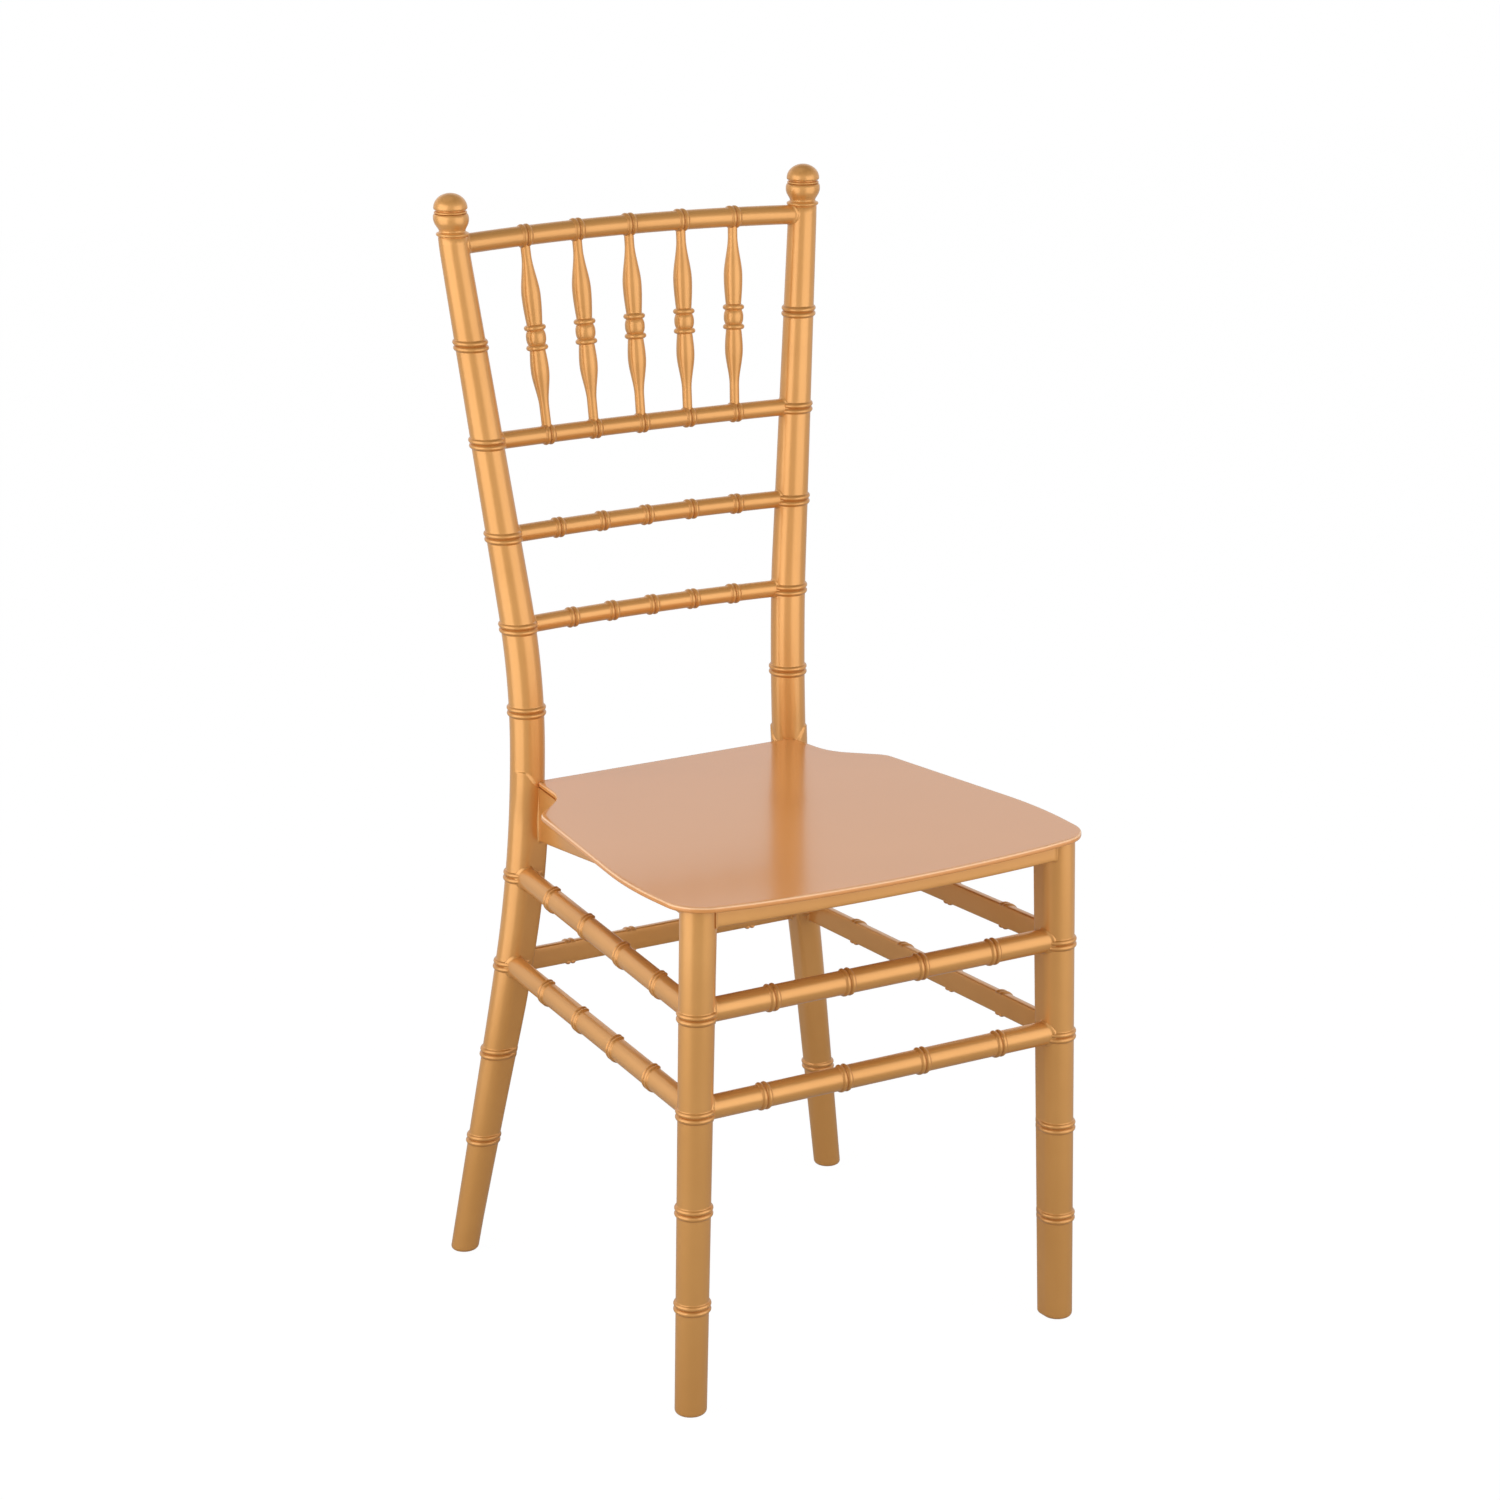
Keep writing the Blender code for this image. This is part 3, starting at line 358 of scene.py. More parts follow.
BackRail = namedtuple("BackRail", "z radius bow arch pitch")
SPINDLE_RAIL_Z = SEAT_HEIGHT + SPINDLE_RAIL_RISE
UPPER_SLAT_Z = SEAT_HEIGHT + UPPER_SLAT_RISE
LOWER_SLAT_Z = SEAT_HEIGHT + LOWER_SLAT_RISE
TOP_RAIL = BackRail(TOP - TOP_RAIL_DROP, TOP_RAIL_R, TOP_RAIL_BOW, TOP_RAIL_ARCH, TOP_RAIL_PITCH)
SPINDLE_RAIL = BackRail(SPINDLE_RAIL_Z, BACK_RAIL_R, SPINDLE_RAIL_BOW, 0.0, SPINDLE_RAIL_PITCH)
UPPER_SLAT = BackRail(UPPER_SLAT_Z, BACK_RAIL_R, UPPER_SLAT_BOW, 0.0, UPPER_SLAT_PITCH)
LOWER_SLAT = BackRail(LOWER_SLAT_Z, BACK_RAIL_R, LOWER_SLAT_BOW, 0.0, LOWER_SLAT_PITCH)

# Each half of a spindle: widest radius, and where along the half it is widest and its neck starts
SpindleHalf = namedtuple("SpindleHalf", "radius widest neck")
SPINDLE_UPPER = SpindleHalf(SPINDLE_UPPER_R, SPINDLE_UPPER_WIDEST, SPINDLE_UPPER_NECK)
SPINDLE_LOWER = SpindleHalf(SPINDLE_LOWER_R, SPINDLE_LOWER_WIDEST, SPINDLE_LOWER_NECK)

# A point of a skin: where it is, which way is outward there, and how much of a ring it carries
SkinPoint = namedtuple("SkinPoint", "place outward share")

# Turned tip as (drop from the top, radius): shadow line, collar, neck, barrel and the cap's seat
TIP_PROFILE = (
    (0.0354, 0.0118), (0.0349, 0.0117), (0.0347, 0.0127), (0.0342, 0.0134), (0.0333, 0.0137),
    (0.0325, 0.0134), (0.0319, 0.0123), (0.0314, 0.0113), (0.0307, 0.0109), (0.0299, 0.0110),
    (0.0287, 0.0116), (0.0269, 0.0127), (0.0249, 0.0138), (0.0227, 0.0145), (0.0206, 0.0147),
    (0.0189, 0.0146), (0.0177, 0.0143), (0.0170, 0.0139), (0.0166, 0.0133),
)
# Cap above its stem, also as (drop from the top, radius): band, groove, then the dome
CAP_BAND = (
    (0.0163, 0.0045), (0.01625, 0.0131), (0.0160, 0.0135), (0.0154, 0.0136), (0.0148, 0.0133),
    (0.0145, 0.0127), (0.0142, 0.0117), (0.0137, 0.0117), (0.0134, 0.0129), (0.0129, 0.0137),
)
CAP_DOME_BASE = 0.0120
CAP_DOME_R = 0.0140
CAP_DOME_POLE = CAP_DOME_R * 0.02
DOME_STEPS = 14


def mix(a, b, share):
    return a + (b - a) * share


def clamp(value):
    return max(0.0, min(1.0, value))


def smooth(low, high, value):
    """Soft step from 0 to 1 between two values."""
    share = clamp((value - low) / (high - low))
    return share * share * (3.0 - 2.0 * share)


def ramp(value, blend):
    """Zero below a bend, a straight slope above it, with a round blend between."""
    if value <= -blend:
        return 0.0
    if value >= blend:
        return value
    return (value + blend) ** 2 / (4.0 * blend)


def spread(pitch, count, middle=0.0):
    """Evenly spaced places about a middle."""
    return [middle + pitch * (i - (count - 1) / 2.0) for i in range(count)]


def quarter_turn(steps):
    """Cosines and sines at even steps over a quarter turn."""
    angles = [i / steps * math.pi / 2.0 for i in range(steps + 1)]
    return [(math.cos(angle), math.sin(angle)) for angle in angles]


def front_leg_axis(z):
    """Centre of the right front leg at a height."""
    return mix(FRONT_FOOT_X, FRONT_TOP_X, z / FRAME_TOP), FRONT_LEG_Y


def post_axis(z):
    """Centre of the right rear post at a height."""
    low_x, low_y = [ramp(bend - z, SPLAY_BLEND) for bend in SPLAY_BENDS]
    ease = TIP_EASE_SHARE * ramp(z - TOP + TIP_DROP, TIP_BLEND)
    high_x, high_y = [ramp(z - bend, FLARE_BLEND) - ease for bend in FLARE_BENDS]
    x = POST_X + SPLAY_SLOPE_X * low_x + FLARE_SLOPE_X * high_x
    y = POST_Y + SPLAY_SLOPE_Y * low_y + FLARE_SLOPE_Y * high_y
    return x, y


def front_leg_radius(z):
    return mix(FRONT_FOOT_R, FRONT_TOP_R, z / FRAME_TOP)


def front_leg_squareness(z):
    return mix(FRONT_FOOT_SQUARE, 1.0, z / FRAME_TOP)


def post_radius(z):
    if z < SEAT_HEIGHT:
        return mix(POST_FOOT_R, POST_SEAT_R, clamp(z / (SEAT_HEIGHT - TAPER_DROP)))
    start = SEAT_HEIGHT + TAPER_RISE
    return mix(POST_SEAT_R, POST_TOP_R, clamp((z - start) / (COLLAR_Z - start)))


def post_squareness(z):
    """Square inner corner below the seat, fading to round towards the floor and at the seat."""
    return clamp((z - SQUARE_START) / SQUARE_RUN) * clamp((FRAME_TOP - z) / SQUARE_FADE)


def leg_reach(radius, away, square):
    """Distance from a leg's axis to its skin, at an angle away from its inner corner."""
    if away >= QUARTER or square <= 0.0:
        return radius
    power = 2.0 / (1.0 - CORNER_SHARPNESS * square)
    lean = QUARTER - away
    return radius / (math.cos(lean) ** power + math.sin(lean) ** power) ** (1.0 / power)


def sleeve(z, away):
    """Extra thickness of the sleeve moulded around a post at the seat."""
    edge = SEAT_HEIGHT + mix(SLEEVE_LOW, SLEEVE_HIGH, smooth(SLEEVE_FROM, SLEEVE_TO, away))
    fade = smooth(SEAT_HEIGHT - SLEEVE_FADE, SEAT_HEIGHT, z)
    fade *= 1.0 - smooth(SLEEVE_THIN_FROM, SLEEVE_THIN_TO, away)
    return SLEEVE_STEP * fade * (1.0 - smooth(edge - SLEEVE_EDGE, edge, z))


Leg = namedtuple("Leg", "axis radius squareness inward_y extra")
FRONT_LEG = Leg(front_leg_axis, front_leg_radius, front_leg_squareness, 1.0, None)
POST = Leg(post_axis, post_radius, post_squareness, -1.0, sleeve)


def leg_clearance(leg, side, point):
    """Distance of a point outside a leg's skin."""
    x, y = leg.axis(point[2])
    across = point[0] - side * x
    ahead = point[1] - y
    corner = math.atan2(leg.inward_y, -side)
    away = abs((math.atan2(ahead, across) - corner + math.pi) % (2.0 * math.pi) - math.pi)
    return math.hypot(across, ahead) - leg_reach(leg.radius(point[2]), away, leg.squareness(point[2]))


def swell_out(point, outward, joints, round_size):
    """Push a skin point outward where it nears a leg, so that the joint gets a soft fillet."""
    nearest = min(leg_clearance(leg, side, point) for leg, side in joints)
    if nearest >= round_size:
        return point
    grow = round_size
    if nearest > 0.0:
        grow = round_size - math.sqrt(round_size ** 2 - (round_size - nearest) ** 2)
    return point + outward * grow


def ease_out(point, outward, joints, round_size):
    """Push a skin point outward in a flatter curve, for a joint at a blunt angle."""
    nearest = min(leg_clearance(leg, side, point) for leg, side in joints)
    grow = round_size * clamp(1.0 - nearest / (2.0 * round_size)) ** 2
    return point + outward * grow


def section_turns():
    """Angles of the whole way around a leg from its inner corner."""
    half = [*CORNER_TURNS, *SLEEVE_TURNS, *OUTER_TURNS]
    return [math.radians(a) for a in half + [360 - a for a in reversed(half[1:-1])]]


SECTION_TURNS = section_turns()


def leg_loop(leg, side, z, radius=None):
    """Skin loop of a leg at a height; a given radius makes it a plain circle."""
    x, y = leg.axis(z)
    corner = math.atan2(leg.inward_y, -side)
    points = []
    for turn in SECTION_TURNS:
        away = min(turn, 2.0 * math.pi - turn)
        square = 0.0 if radius else leg.squareness(z)
        reach = leg_reach(radius or leg.radius(z), away, square)
        if leg.extra and not radius:
            reach += leg.extra(z, away)
        way = Vector((math.cos(corner + turn), math.sin(corner + turn), 0.0))
        share = 1.0 - square * (1.0 - smooth(RING_FADE_FROM, RING_FADE_TO, away))
        points.append(SkinPoint(Vector((side * x, y, z)) + way * reach, way, share))
    return points


def stations(start, end, rings, fine=()):
    """Places along a stick: even steps, finer over rings and over the named spans."""
    count = max(2, math.ceil((end - start) / COARSE_STEP))
    places = [mix(start, end, i / count) for i in range(count + 1)]
    reach = RING_HALF * RING_MARGIN
    for low, high in [(ring - reach, ring + reach) for ring in rings]:
        places = [p for p in places if not low < p < high]
        places += [mix(low, high, i / RING_STEPS) for i in range(RING_STEPS + 1)]
    for low, high in fine:
        steps = math.ceil((high - low) / FINE_STEP)
        places += [mix(low, high, i / steps) for i in range(steps + 1)]
    kept = []
    for place in sorted(p for p in places if start <= p <= end):
        if not kept or place - kept[-1] > MERGE_STEP:
            kept.append(place)
    kept[-1] = end
    return kept


def joint_spans(end, reach, radius, round_size):
    """Spans at both ends of a cross piece where it swells into the legs."""
    near = reach - (radius + 2.0 * round_size)
    return (-end, -near), (near, end)


def oriented(along_x, along, across, up):
    """Place or direction on a piece that runs along X, or else along Y."""
    return Vector((along, across, up)) if along_x else Vector((across, along, up))


def skin(name, rows):
    """Closed skin over (place along the stick, loop of skin points) rows."""
    count = len(rows[0][1])
    faces = []
    for row in range(len(rows) - 1):
        base = row * count
        for i in range(count):
            j = (i + 1) % count
            faces.append((base + i, base + j, base + count + j, base + count + i))
    last = (len(rows) - 1) * count
    faces.append(tuple(reversed(range(count))))
    faces.append(tuple(range(last, last + count)))
    points = [point for along, loop in rows for point in loop]
    mesh = bpy.data.meshes.new(name)
    mesh.from_pydata([point.place for point in points], [], faces)
    along = mesh.attributes.new("along", "FLOAT", "POINT")
    along.data.foreach_set("value", [place for place, loop in rows for point in loop])
    share = mesh.attributes.new("ring_share", "FLOAT", "POINT")
    share.data.foreach_set("value", [point.share for point in points])
    outward = mesh.attributes.new("outward", "FLOAT_VECTOR", "POINT")
    outward.data.foreach_set("vector", [c for point in points for c in point.outward])
    face_outward(mesh)
    return add_object(name, mesh)


def face_outward(mesh):
    bm = bmesh.new()
    bm.from_mesh(mesh)
    bmesh.ops.recalc_face_normals(bm, faces=bm.faces)
    bm.to_mesh(mesh)
    bm.free()


def add_object(name, data):
    item = bpy.data.objects.new(name, data)
    bpy.context.scene.collection.objects.link(item)
    return item


def add_points(name, places):
    """Loose points that a node tree reads."""
    mesh = bpy.data.meshes.new(name)
    mesh.from_pydata(places, [], [])
    return add_object(name, mesh)


def add_profile(name, line):
    """Line of (place, radius) points that a node tree turns into a round piece."""
    mesh = bpy.data.meshes.new(name)
    mesh.from_pydata([place for place, radius in line], [(i, i + 1) for i in range(len(line) - 1)], [])
    reach = mesh.attributes.new("reach", "FLOAT", "POINT")
    reach.data.foreach_set("value", [radius for place, radius in line])
    return add_object(name, mesh)


def drop_object(item):
    mesh = item.data
    bpy.data.objects.remove(item, do_unlink=True)
    bpy.data.meshes.remove(mesh)


def settle(item):
    """Turn the worked-out shape into the object's own plain mesh."""
    bpy.context.view_layer.update()
    depsgraph = bpy.context.evaluated_depsgraph_get()
    source = item.evaluated_get(depsgraph)
    mesh = bpy.data.meshes.new_from_object(source, preserve_all_data_layers=True, depsgraph=depsgraph)
    item.modifiers.clear()
    old = item.data
    item.data = mesh
    bpy.data.meshes.remove(old)
    mesh.name = item.name


def cut(target, tool, operation="DIFFERENCE"):
    """Apply a boolean and remove the tool."""
    modifier = target.modifiers.new("joint", "BOOLEAN")
    modifier.operation = operation
    modifier.solver = "EXACT"
    modifier.object = tool
    settle(target)
    drop_object(tool)


def finish_piece(item, nodes, material=None):
    """Shade a finished piece and hand it over in place of the named nodes."""
    if material:
        item.data.materials.clear()
        item.data.materials.append(material)
    item.data.shade_smooth()
    item.data.set_sharp_from_angle(angle=SHARP_ANGLE)
    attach(item, "root")
    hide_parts(*nodes)


# Node tree helpers
def node(tree, kind, links=None, **settings):
    """Add a node, set its settings, and feed its inputs from values or other nodes' outputs."""
    item = tree.nodes.new(kind)
    for key, value in settings.items():
        setattr(item, key, value)
    for key, source in (links or {}).items():
        if isinstance(source, bpy.types.NodeSocket):
            tree.links.new(source, item.inputs[key])
        else:
            item.inputs[key].default_value = source
    return item


def math_node(tree, operation, *values):
    return node(tree, "ShaderNodeMath", dict(enumerate(values)), operation=operation).outputs[0]


def socket(tree, name, kind, way="INPUT"):
    return tree.interface.new_socket(name, in_out=way, socket_type=kind)


def new_geometry_tree(name, inputs):
    tree = bpy.data.node_groups.new(name, "GeometryNodeTree")
    socket(tree, "Geometry", "NodeSocketGeometry")
    for label, kind in inputs:
        socket(tree, label, kind)
    socket(tree, "Geometry", "NodeSocketGeometry", "OUTPUT")
    return tree, node(tree, "NodeGroupInput").outputs, node(tree, "NodeGroupOutput").inputs


def close_tree(tree, geometry, material, result):
    """Last steps of every tree: real geometry with its material."""
    real = node(tree, "GeometryNodeRealizeInstances", {"Geometry": geometry})
    done = node(tree, "GeometryNodeSetMaterial", {"Geometry": real.outputs[0], "Material": material})
    tree.links.new(done.outputs[0], result["Geometry"])


def apply_tree(item, tree, values):
    """Run a node tree on an object with named inputs and keep the plain mesh."""
    modifier = item.modifiers.new(tree.name, "NODES")
    modifier.node_group = tree
    for entry in tree.interface.items_tree:
        if entry.in_out == "INPUT" and entry.name in values:
            modifier[entry.identifier] = values[entry.name]
    settle(item)


def build_ring_tree():
    """Raises a pair of beads on a stick at each given place along it."""
    tree, given, result = new_geometry_tree("ring_pairs", (
        ("Ring Places", "NodeSocketObject"),
        ("Half Height", "NodeSocketFloat"),
        ("Rise", "NodeSocketFloat"),
        ("Valley", "NodeSocketFloat"),
        ("Material", "NodeSocketMaterial"),
    ))
    named = "GeometryNodeInputNamedAttribute"
    along = node(tree, named, {"Name": "along"}, data_type="FLOAT").outputs["Attribute"]
    share = node(tree, named, {"Name": "ring_share"}, data_type="FLOAT").outputs["Attribute"]
    outward = node(tree, named, {"Name": "outward"}, data_type="FLOAT_VECTOR").outputs["Attribute"]
    places = node(tree, "GeometryNodeObjectInfo", {"Object": given["Ring Places"]}).outputs["Geometry"]
    spot = node(tree, "ShaderNodeCombineXYZ", {"X": along}).outputs[0]
    nearest = node(tree, "GeometryNodeSampleNearest", {"Geometry": places, "Sample Position": spot})
    position = node(tree, "GeometryNodeInputPosition").outputs[0]
    sample = node(
        tree, "GeometryNodeSampleIndex",
        {"Geometry": places, "Value": position, "Index": nearest.outputs[0]},
        data_type="FLOAT_VECTOR",
    )
    ring = node(tree, "ShaderNodeSeparateXYZ", {0: sample.outputs[0]}).outputs["X"]
    distance = math_node(tree, "ABSOLUTE", math_node(tree, "SUBTRACT", along, ring))
    share_off = math_node(tree, "DIVIDE", distance, given["Half Height"])
    inside = math_node(tree, "MINIMUM", share_off, 1.0)
    wave = math_node(tree, "SINE", math_node(tree, "MULTIPLY", inside, math.pi))
    rounded = math_node(tree, "POWER", math_node(tree, "MAXIMUM", wave, 0.0), RING_ROUNDNESS)
    valley = math_node(tree, "MULTIPLY", math_node(tree, "LESS_THAN", inside, 0.5), given["Valley"])
    bead = math_node(tree, "MAXIMUM", rounded, valley)
    lift = math_node(tree, "MULTIPLY", math_node(tree, "MULTIPLY", bead, share), given["Rise"])
    offset = node(tree, "ShaderNodeVectorMath", {0: outward, "Scale": lift}, operation="SCALE").outputs[0]
    raised = node(tree, "GeometryNodeSetPosition", {"Geometry": given["Geometry"], "Offset": offset})
    # Bead height kept as an attribute; the gold material reads it for painted shade in the grooves
    crest = math_node(tree, "MULTIPLY", math_node(tree, "LESS_THAN", share_off, 1.0), bead)
    crest = math_node(tree, "MULTIPLY", crest, share)
    stored = node(
        tree, "GeometryNodeStoreNamedAttribute",
        {"Geometry": raised.outputs[0], "Name": "bead", "Value": crest},
        data_type="FLOAT", domain="POINT",
    )
    close_tree(tree, stored.outputs[0], given["Material"], result)
    return tree


def turn_profile(tree, profile, sides):
    """Round skin with closed ends about a line of points, each with its own reach."""
    line = node(tree, "GeometryNodeMeshToCurve", {"Mesh": profile}).outputs[0]
    circle = node(tree, "GeometryNodeCurvePrimitiveCircle", {"Resolution": sides, "Radius": 1.0})
    reach = node(tree, "GeometryNodeInputNamedAttribute", {"Name": "reach"}, data_type="FLOAT")
    return node(tree, "GeometryNodeCurveToMesh", {
        "Curve": line,
        "Profile Curve": circle.outputs[0],
        "Scale": reach.outputs["Attribute"],
        "Fill Caps": True,
    }).outputs[0]


def build_turned_tree():
    """Turns a line of points into a round piece."""
    tree, given, result = new_geometry_tree("turned", (
        ("Sides", "NodeSocketInt"),
        ("Material", "NodeSocketMaterial"),
    ))
    turned = turn_profile(tree, given["Geometry"], given["Sides"])
    close_tree(tree, turned, given["Material"], result)
    return tree


def build_screw_tree():
    """Turns one screw, cuts its cross recess and sets a copy at every place."""
    tree, given, result = new_geometry_tree("seat_screws", (
        ("Profile", "NodeSocketObject"),
        ("Sides", "NodeSocketInt"),
        ("Slot Size", "NodeSocketVector"),
        ("Slot Place", "NodeSocketVector"),
        ("Material", "NodeSocketMaterial"),
    ))
    profile = node(tree, "GeometryNodeObjectInfo", {"Object": given["Profile"]}).outputs["Geometry"]
    screw = turn_profile(tree, profile, given["Sides"])
    block = node(tree, "GeometryNodeMeshCube", {"Size": given["Slot Size"]}).outputs[0]
    for turn in (0.0, math.pi / 2.0):
        bar = node(tree, "GeometryNodeTransform", {
            "Geometry": block,
            "Translation": given["Slot Place"],
            "Rotation": (0.0, 0.0, turn),
        })
        cutter = node(
            tree, "GeometryNodeMeshBoolean", {"Mesh 1": screw, "Mesh 2": bar.outputs[0]},
            operation="DIFFERENCE", solver="EXACT",
        )
        screw = cutter.outputs[0]
    placed = node(tree, "GeometryNodeInstanceOnPoints", {"Points": given["Geometry"], "Instance": screw})
    close_tree(tree, placed.outputs[0], given["Material"], result)
    return tree


# Materials
def new_material(name):
    material = bpy.data.materials.new(name)
    material.use_nodes = True
    tree = material.node_tree
    tree.nodes.clear()
    shader = node(tree, "ShaderNodeBsdfPrincipled")
    output = node(tree, "ShaderNodeOutputMaterial")
    tree.links.new(shader.outputs[0], output.inputs["Surface"])
    return material, tree, shader


def new_shader_group(name, inputs, outputs):
    tree = bpy.data.node_groups.new(name, "ShaderNodeTree")
    for label, kind in inputs:
        socket(tree, label, kind)
    for label, kind in outputs:
        socket(tree, label, kind, "OUTPUT")
    return tree, node(tree, "NodeGroupInput").outputs, node(tree, "NodeGroupOutput").inputs


def build_pearl_group():
    """Slow flow marks of the moulded plastic, fine pearl grain and a little orange peel."""
    tree, given, result = new_shader_group(
        "pearl_plastic",
        (("Flow Scale", "NodeSocketFloat"), ("Grain Scale", "NodeSocketFloat")),
        (("Flow", "NodeSocketFloat"), ("Grain", "NodeSocketFloat"), ("Height", "NodeSocketFloat")),
    )
    place = node(tree, "ShaderNodeTexCoord").outputs["Object"]
    flow = node(tree, "ShaderNodeTexNoise", {
        "Vector": place, "Scale": given["Flow Scale"], "Detail": 3.0, "Roughness": 0.5, "Distortion": 0.7,
    }).outputs[0]
    grain = node(tree, "ShaderNodeTexNoise", {
        "Vector": place, "Scale": given["Grain Scale"], "Detail": 1.0, "Roughness": 0.6,
    }).outputs[0]
    peel_scale = math_node(tree, "MULTIPLY", given["Grain Scale"], PEEL_SCALE_SHARE)
    peel = node(tree, "ShaderNodeTexNoise", {
        "Vector": place, "Scale": peel_scale, "Detail": 2.0, "Roughness": 0.5,
    }).outputs[0]
    fine = math_node(tree, "MULTIPLY", grain, GRAIN_HEIGHT)
    coarse = math_node(tree, "MULTIPLY", peel, PEEL_HEIGHT)
    height = math_node(tree, "ADD", fine, coarse)
    tree.links.new(flow, result["Flow"])
    tree.links.new(grain, result["Grain"])
    tree.links.new(height, result["Height"])
    return tree


def colour_mix(tree, factor, first, second):
    colours = {0: factor, 6: first, 7: second}
    return node(tree, "ShaderNodeMix", colours, data_type="RGBA").outputs[2]


def value_range(tree, value, given=(0.0, 1.0), wanted=(0.0, 1.0)):
    """Carry a value from one range over to another, without leaving it."""
    return node(tree, "ShaderNodeMapRange", {
        "Value": value,
        "From Min": given[0], "From Max": given[1],
        "To Min": wanted[0], "To Max": wanted[1],
    }).outputs[0]


def add_bump(tree, shader, strength, depth, height):
    bump = node(tree, "ShaderNodeBump", {"Strength": strength, "Distance": depth, "Height": height})
    tree.links.new(bump.outputs[0], shader.inputs["Normal"])


def painted_lip_highlight(tree):
    """Mask of the narrow painted highlight line around the upper edge of the seat's lip."""
    place = node(tree, "ShaderNodeTexCoord").outputs["Object"]
    height = node(tree, "ShaderNodeSeparateXYZ", {0: place}).outputs["Z"]
    low = SEAT_HEIGHT - LIP_ROUND
    above = value_range(tree, height, (low, SEAT_HEIGHT - LIP_ROUND * LIP_HIGHLIGHT_LOW))
    below = value_range(tree, height, (SEAT_HEIGHT, SEAT_HEIGHT - LIP_ROUND * LIP_HIGHLIGHT_HIGH))
    return math_node(tree, "MULTIPLY", above, below)


def make_gold(gold, pearl):
    """Gold pearl plastic with slow flow marks and fine grain, painted shade on the ring beads' flanks and
    grooves, and a painted highlight line on the lip where a lip colour is given.
    """
    material, tree, shader = new_material(gold.name)
    marks = node(tree, "ShaderNodeGroup", node_tree=pearl)
    marks.inputs["Flow Scale"].default_value = gold.flow_scale
    marks.inputs["Grain Scale"].default_value = GRAIN_SCALE
    flow = value_range(tree, marks.outputs["Flow"], wanted=FLOW_SPREAD)
    tone = colour_mix(tree, flow, (*gold.deep, 1.0), (*gold.light, 1.0))
    bead = node(tree, "ShaderNodeAttribute", attribute_name="bead").outputs["Fac"]
    # Painted shade: darkest on the bead flanks, where shade falls between the beads
    groove_shade_mask = math_node(tree, "MULTIPLY", math_node(tree, "SUBTRACT", 1.0, bead), bead)
    shade = math_node(tree, "MULTIPLY", groove_shade_mask, GROOVE_PAINTED_SHADE_STRENGTH)
    tone = colour_mix(tree, shade, tone, (*gold.groove, 1.0))
    # Painted highlight: a paler line on the seat's lip where a bright glint would fall
    if gold.lip:
        tone = colour_mix(tree, painted_lip_highlight(tree), tone, (*gold.lip, 1.0))
    rough = value_range(tree, marks.outputs["Grain"], wanted=gold.rough)
    tree.links.new(tone, shader.inputs["Base Color"])
    tree.links.new(rough, shader.inputs["Roughness"])
    add_bump(tree, shader, PEARL_BUMP, PEARL_BUMP_DEPTH, marks.outputs["Height"])
    shader.inputs["Metallic"].default_value = gold.lustre
    shader.inputs["IOR"].default_value = PLASTIC_IOR
    shader.inputs["Coat Weight"].default_value = COAT_WEIGHT
    shader.inputs["Coat Roughness"].default_value = COAT_ROUGHNESS
    return material


def make_grained(look):
    """Plain material with a fine grain in its colour, gloss and height."""
    material, tree, shader = new_material(look.name)
    place = node(tree, "ShaderNodeTexCoord").outputs["Object"]
    grain = node(tree, "ShaderNodeTexNoise", {
        "Vector": place, "Scale": look.scale, "Detail": look.detail,
    }).outputs[0]
    tone = colour_mix(tree, grain, (*look.dark, 1.0), (*look.pale, 1.0))
    tree.links.new(tone, shader.inputs["Base Color"])
    tree.links.new(value_range(tree, grain, wanted=look.rough), shader.inputs["Roughness"])
    add_bump(tree, shader, look.bump, look.bump_depth, grain)
    shader.inputs["Metallic"].default_value = look.metallic
    return material


# Legs and posts
def front_leg_rings():
    low = LOWER_RAIL_Z - FRONT_RING_SAG
    high = UPPER_RAIL_Z - FRONT_RING_SAG
    return [FRONT_LOW_RING, mix(FRONT_LOW_RING, low, 0.5), low, high]


def post_rings():
    middle = mix(POST_LOW_RING, LOWER_RAIL_BACK_Z, 0.5)
    below = [POST_LOW_RING, middle, LOWER_RAIL_BACK_Z, UPPER_RAIL_BACK_Z]
    above = [SEAT_HEIGHT + SEAT_RING_RISE, LOWER_SLAT.z, UPPER_SLAT.z, SPINDLE_RAIL.z]
    return below + above + [mix(SPINDLE_RAIL.z, TOP_RAIL.z, 0.5)]


def foot_rows(leg, side):
    """Glide socket, flat foot and its rounded edge."""
    pad = leg.radius(0.0) - GLIDE_RIM + GAP
    stem = GLIDE_STEM_R + GAP
    ceiling = GLIDE_PAD_HEIGHT + GAP
    inside = ((GLIDE_STEM_TOP + GAP, stem), (ceiling, stem), (ceiling, pad), (FOOT_CLEARANCE, pad))
    rows = [(0.0, leg_loop(leg, side, z, radius)) for z, radius in inside]
    for cos, sin in quarter_turn(FOOT_STEPS):
        z = FOOT_CLEARANCE + FOOT_ROUND * (1.0 - cos)
        inset = FOOT_ROUND * (1.0 - sin)
        x, y = leg.axis(z)
        centre = Vector((side * x, y, z))
        loop = []
        for point in leg_loop(leg, side, z):
            place = point.place - (point.place - centre).normalized() * inset
            loop.append(SkinPoint(place, point.outward, 0.0))
        rows.append((z, loop))
    return rows


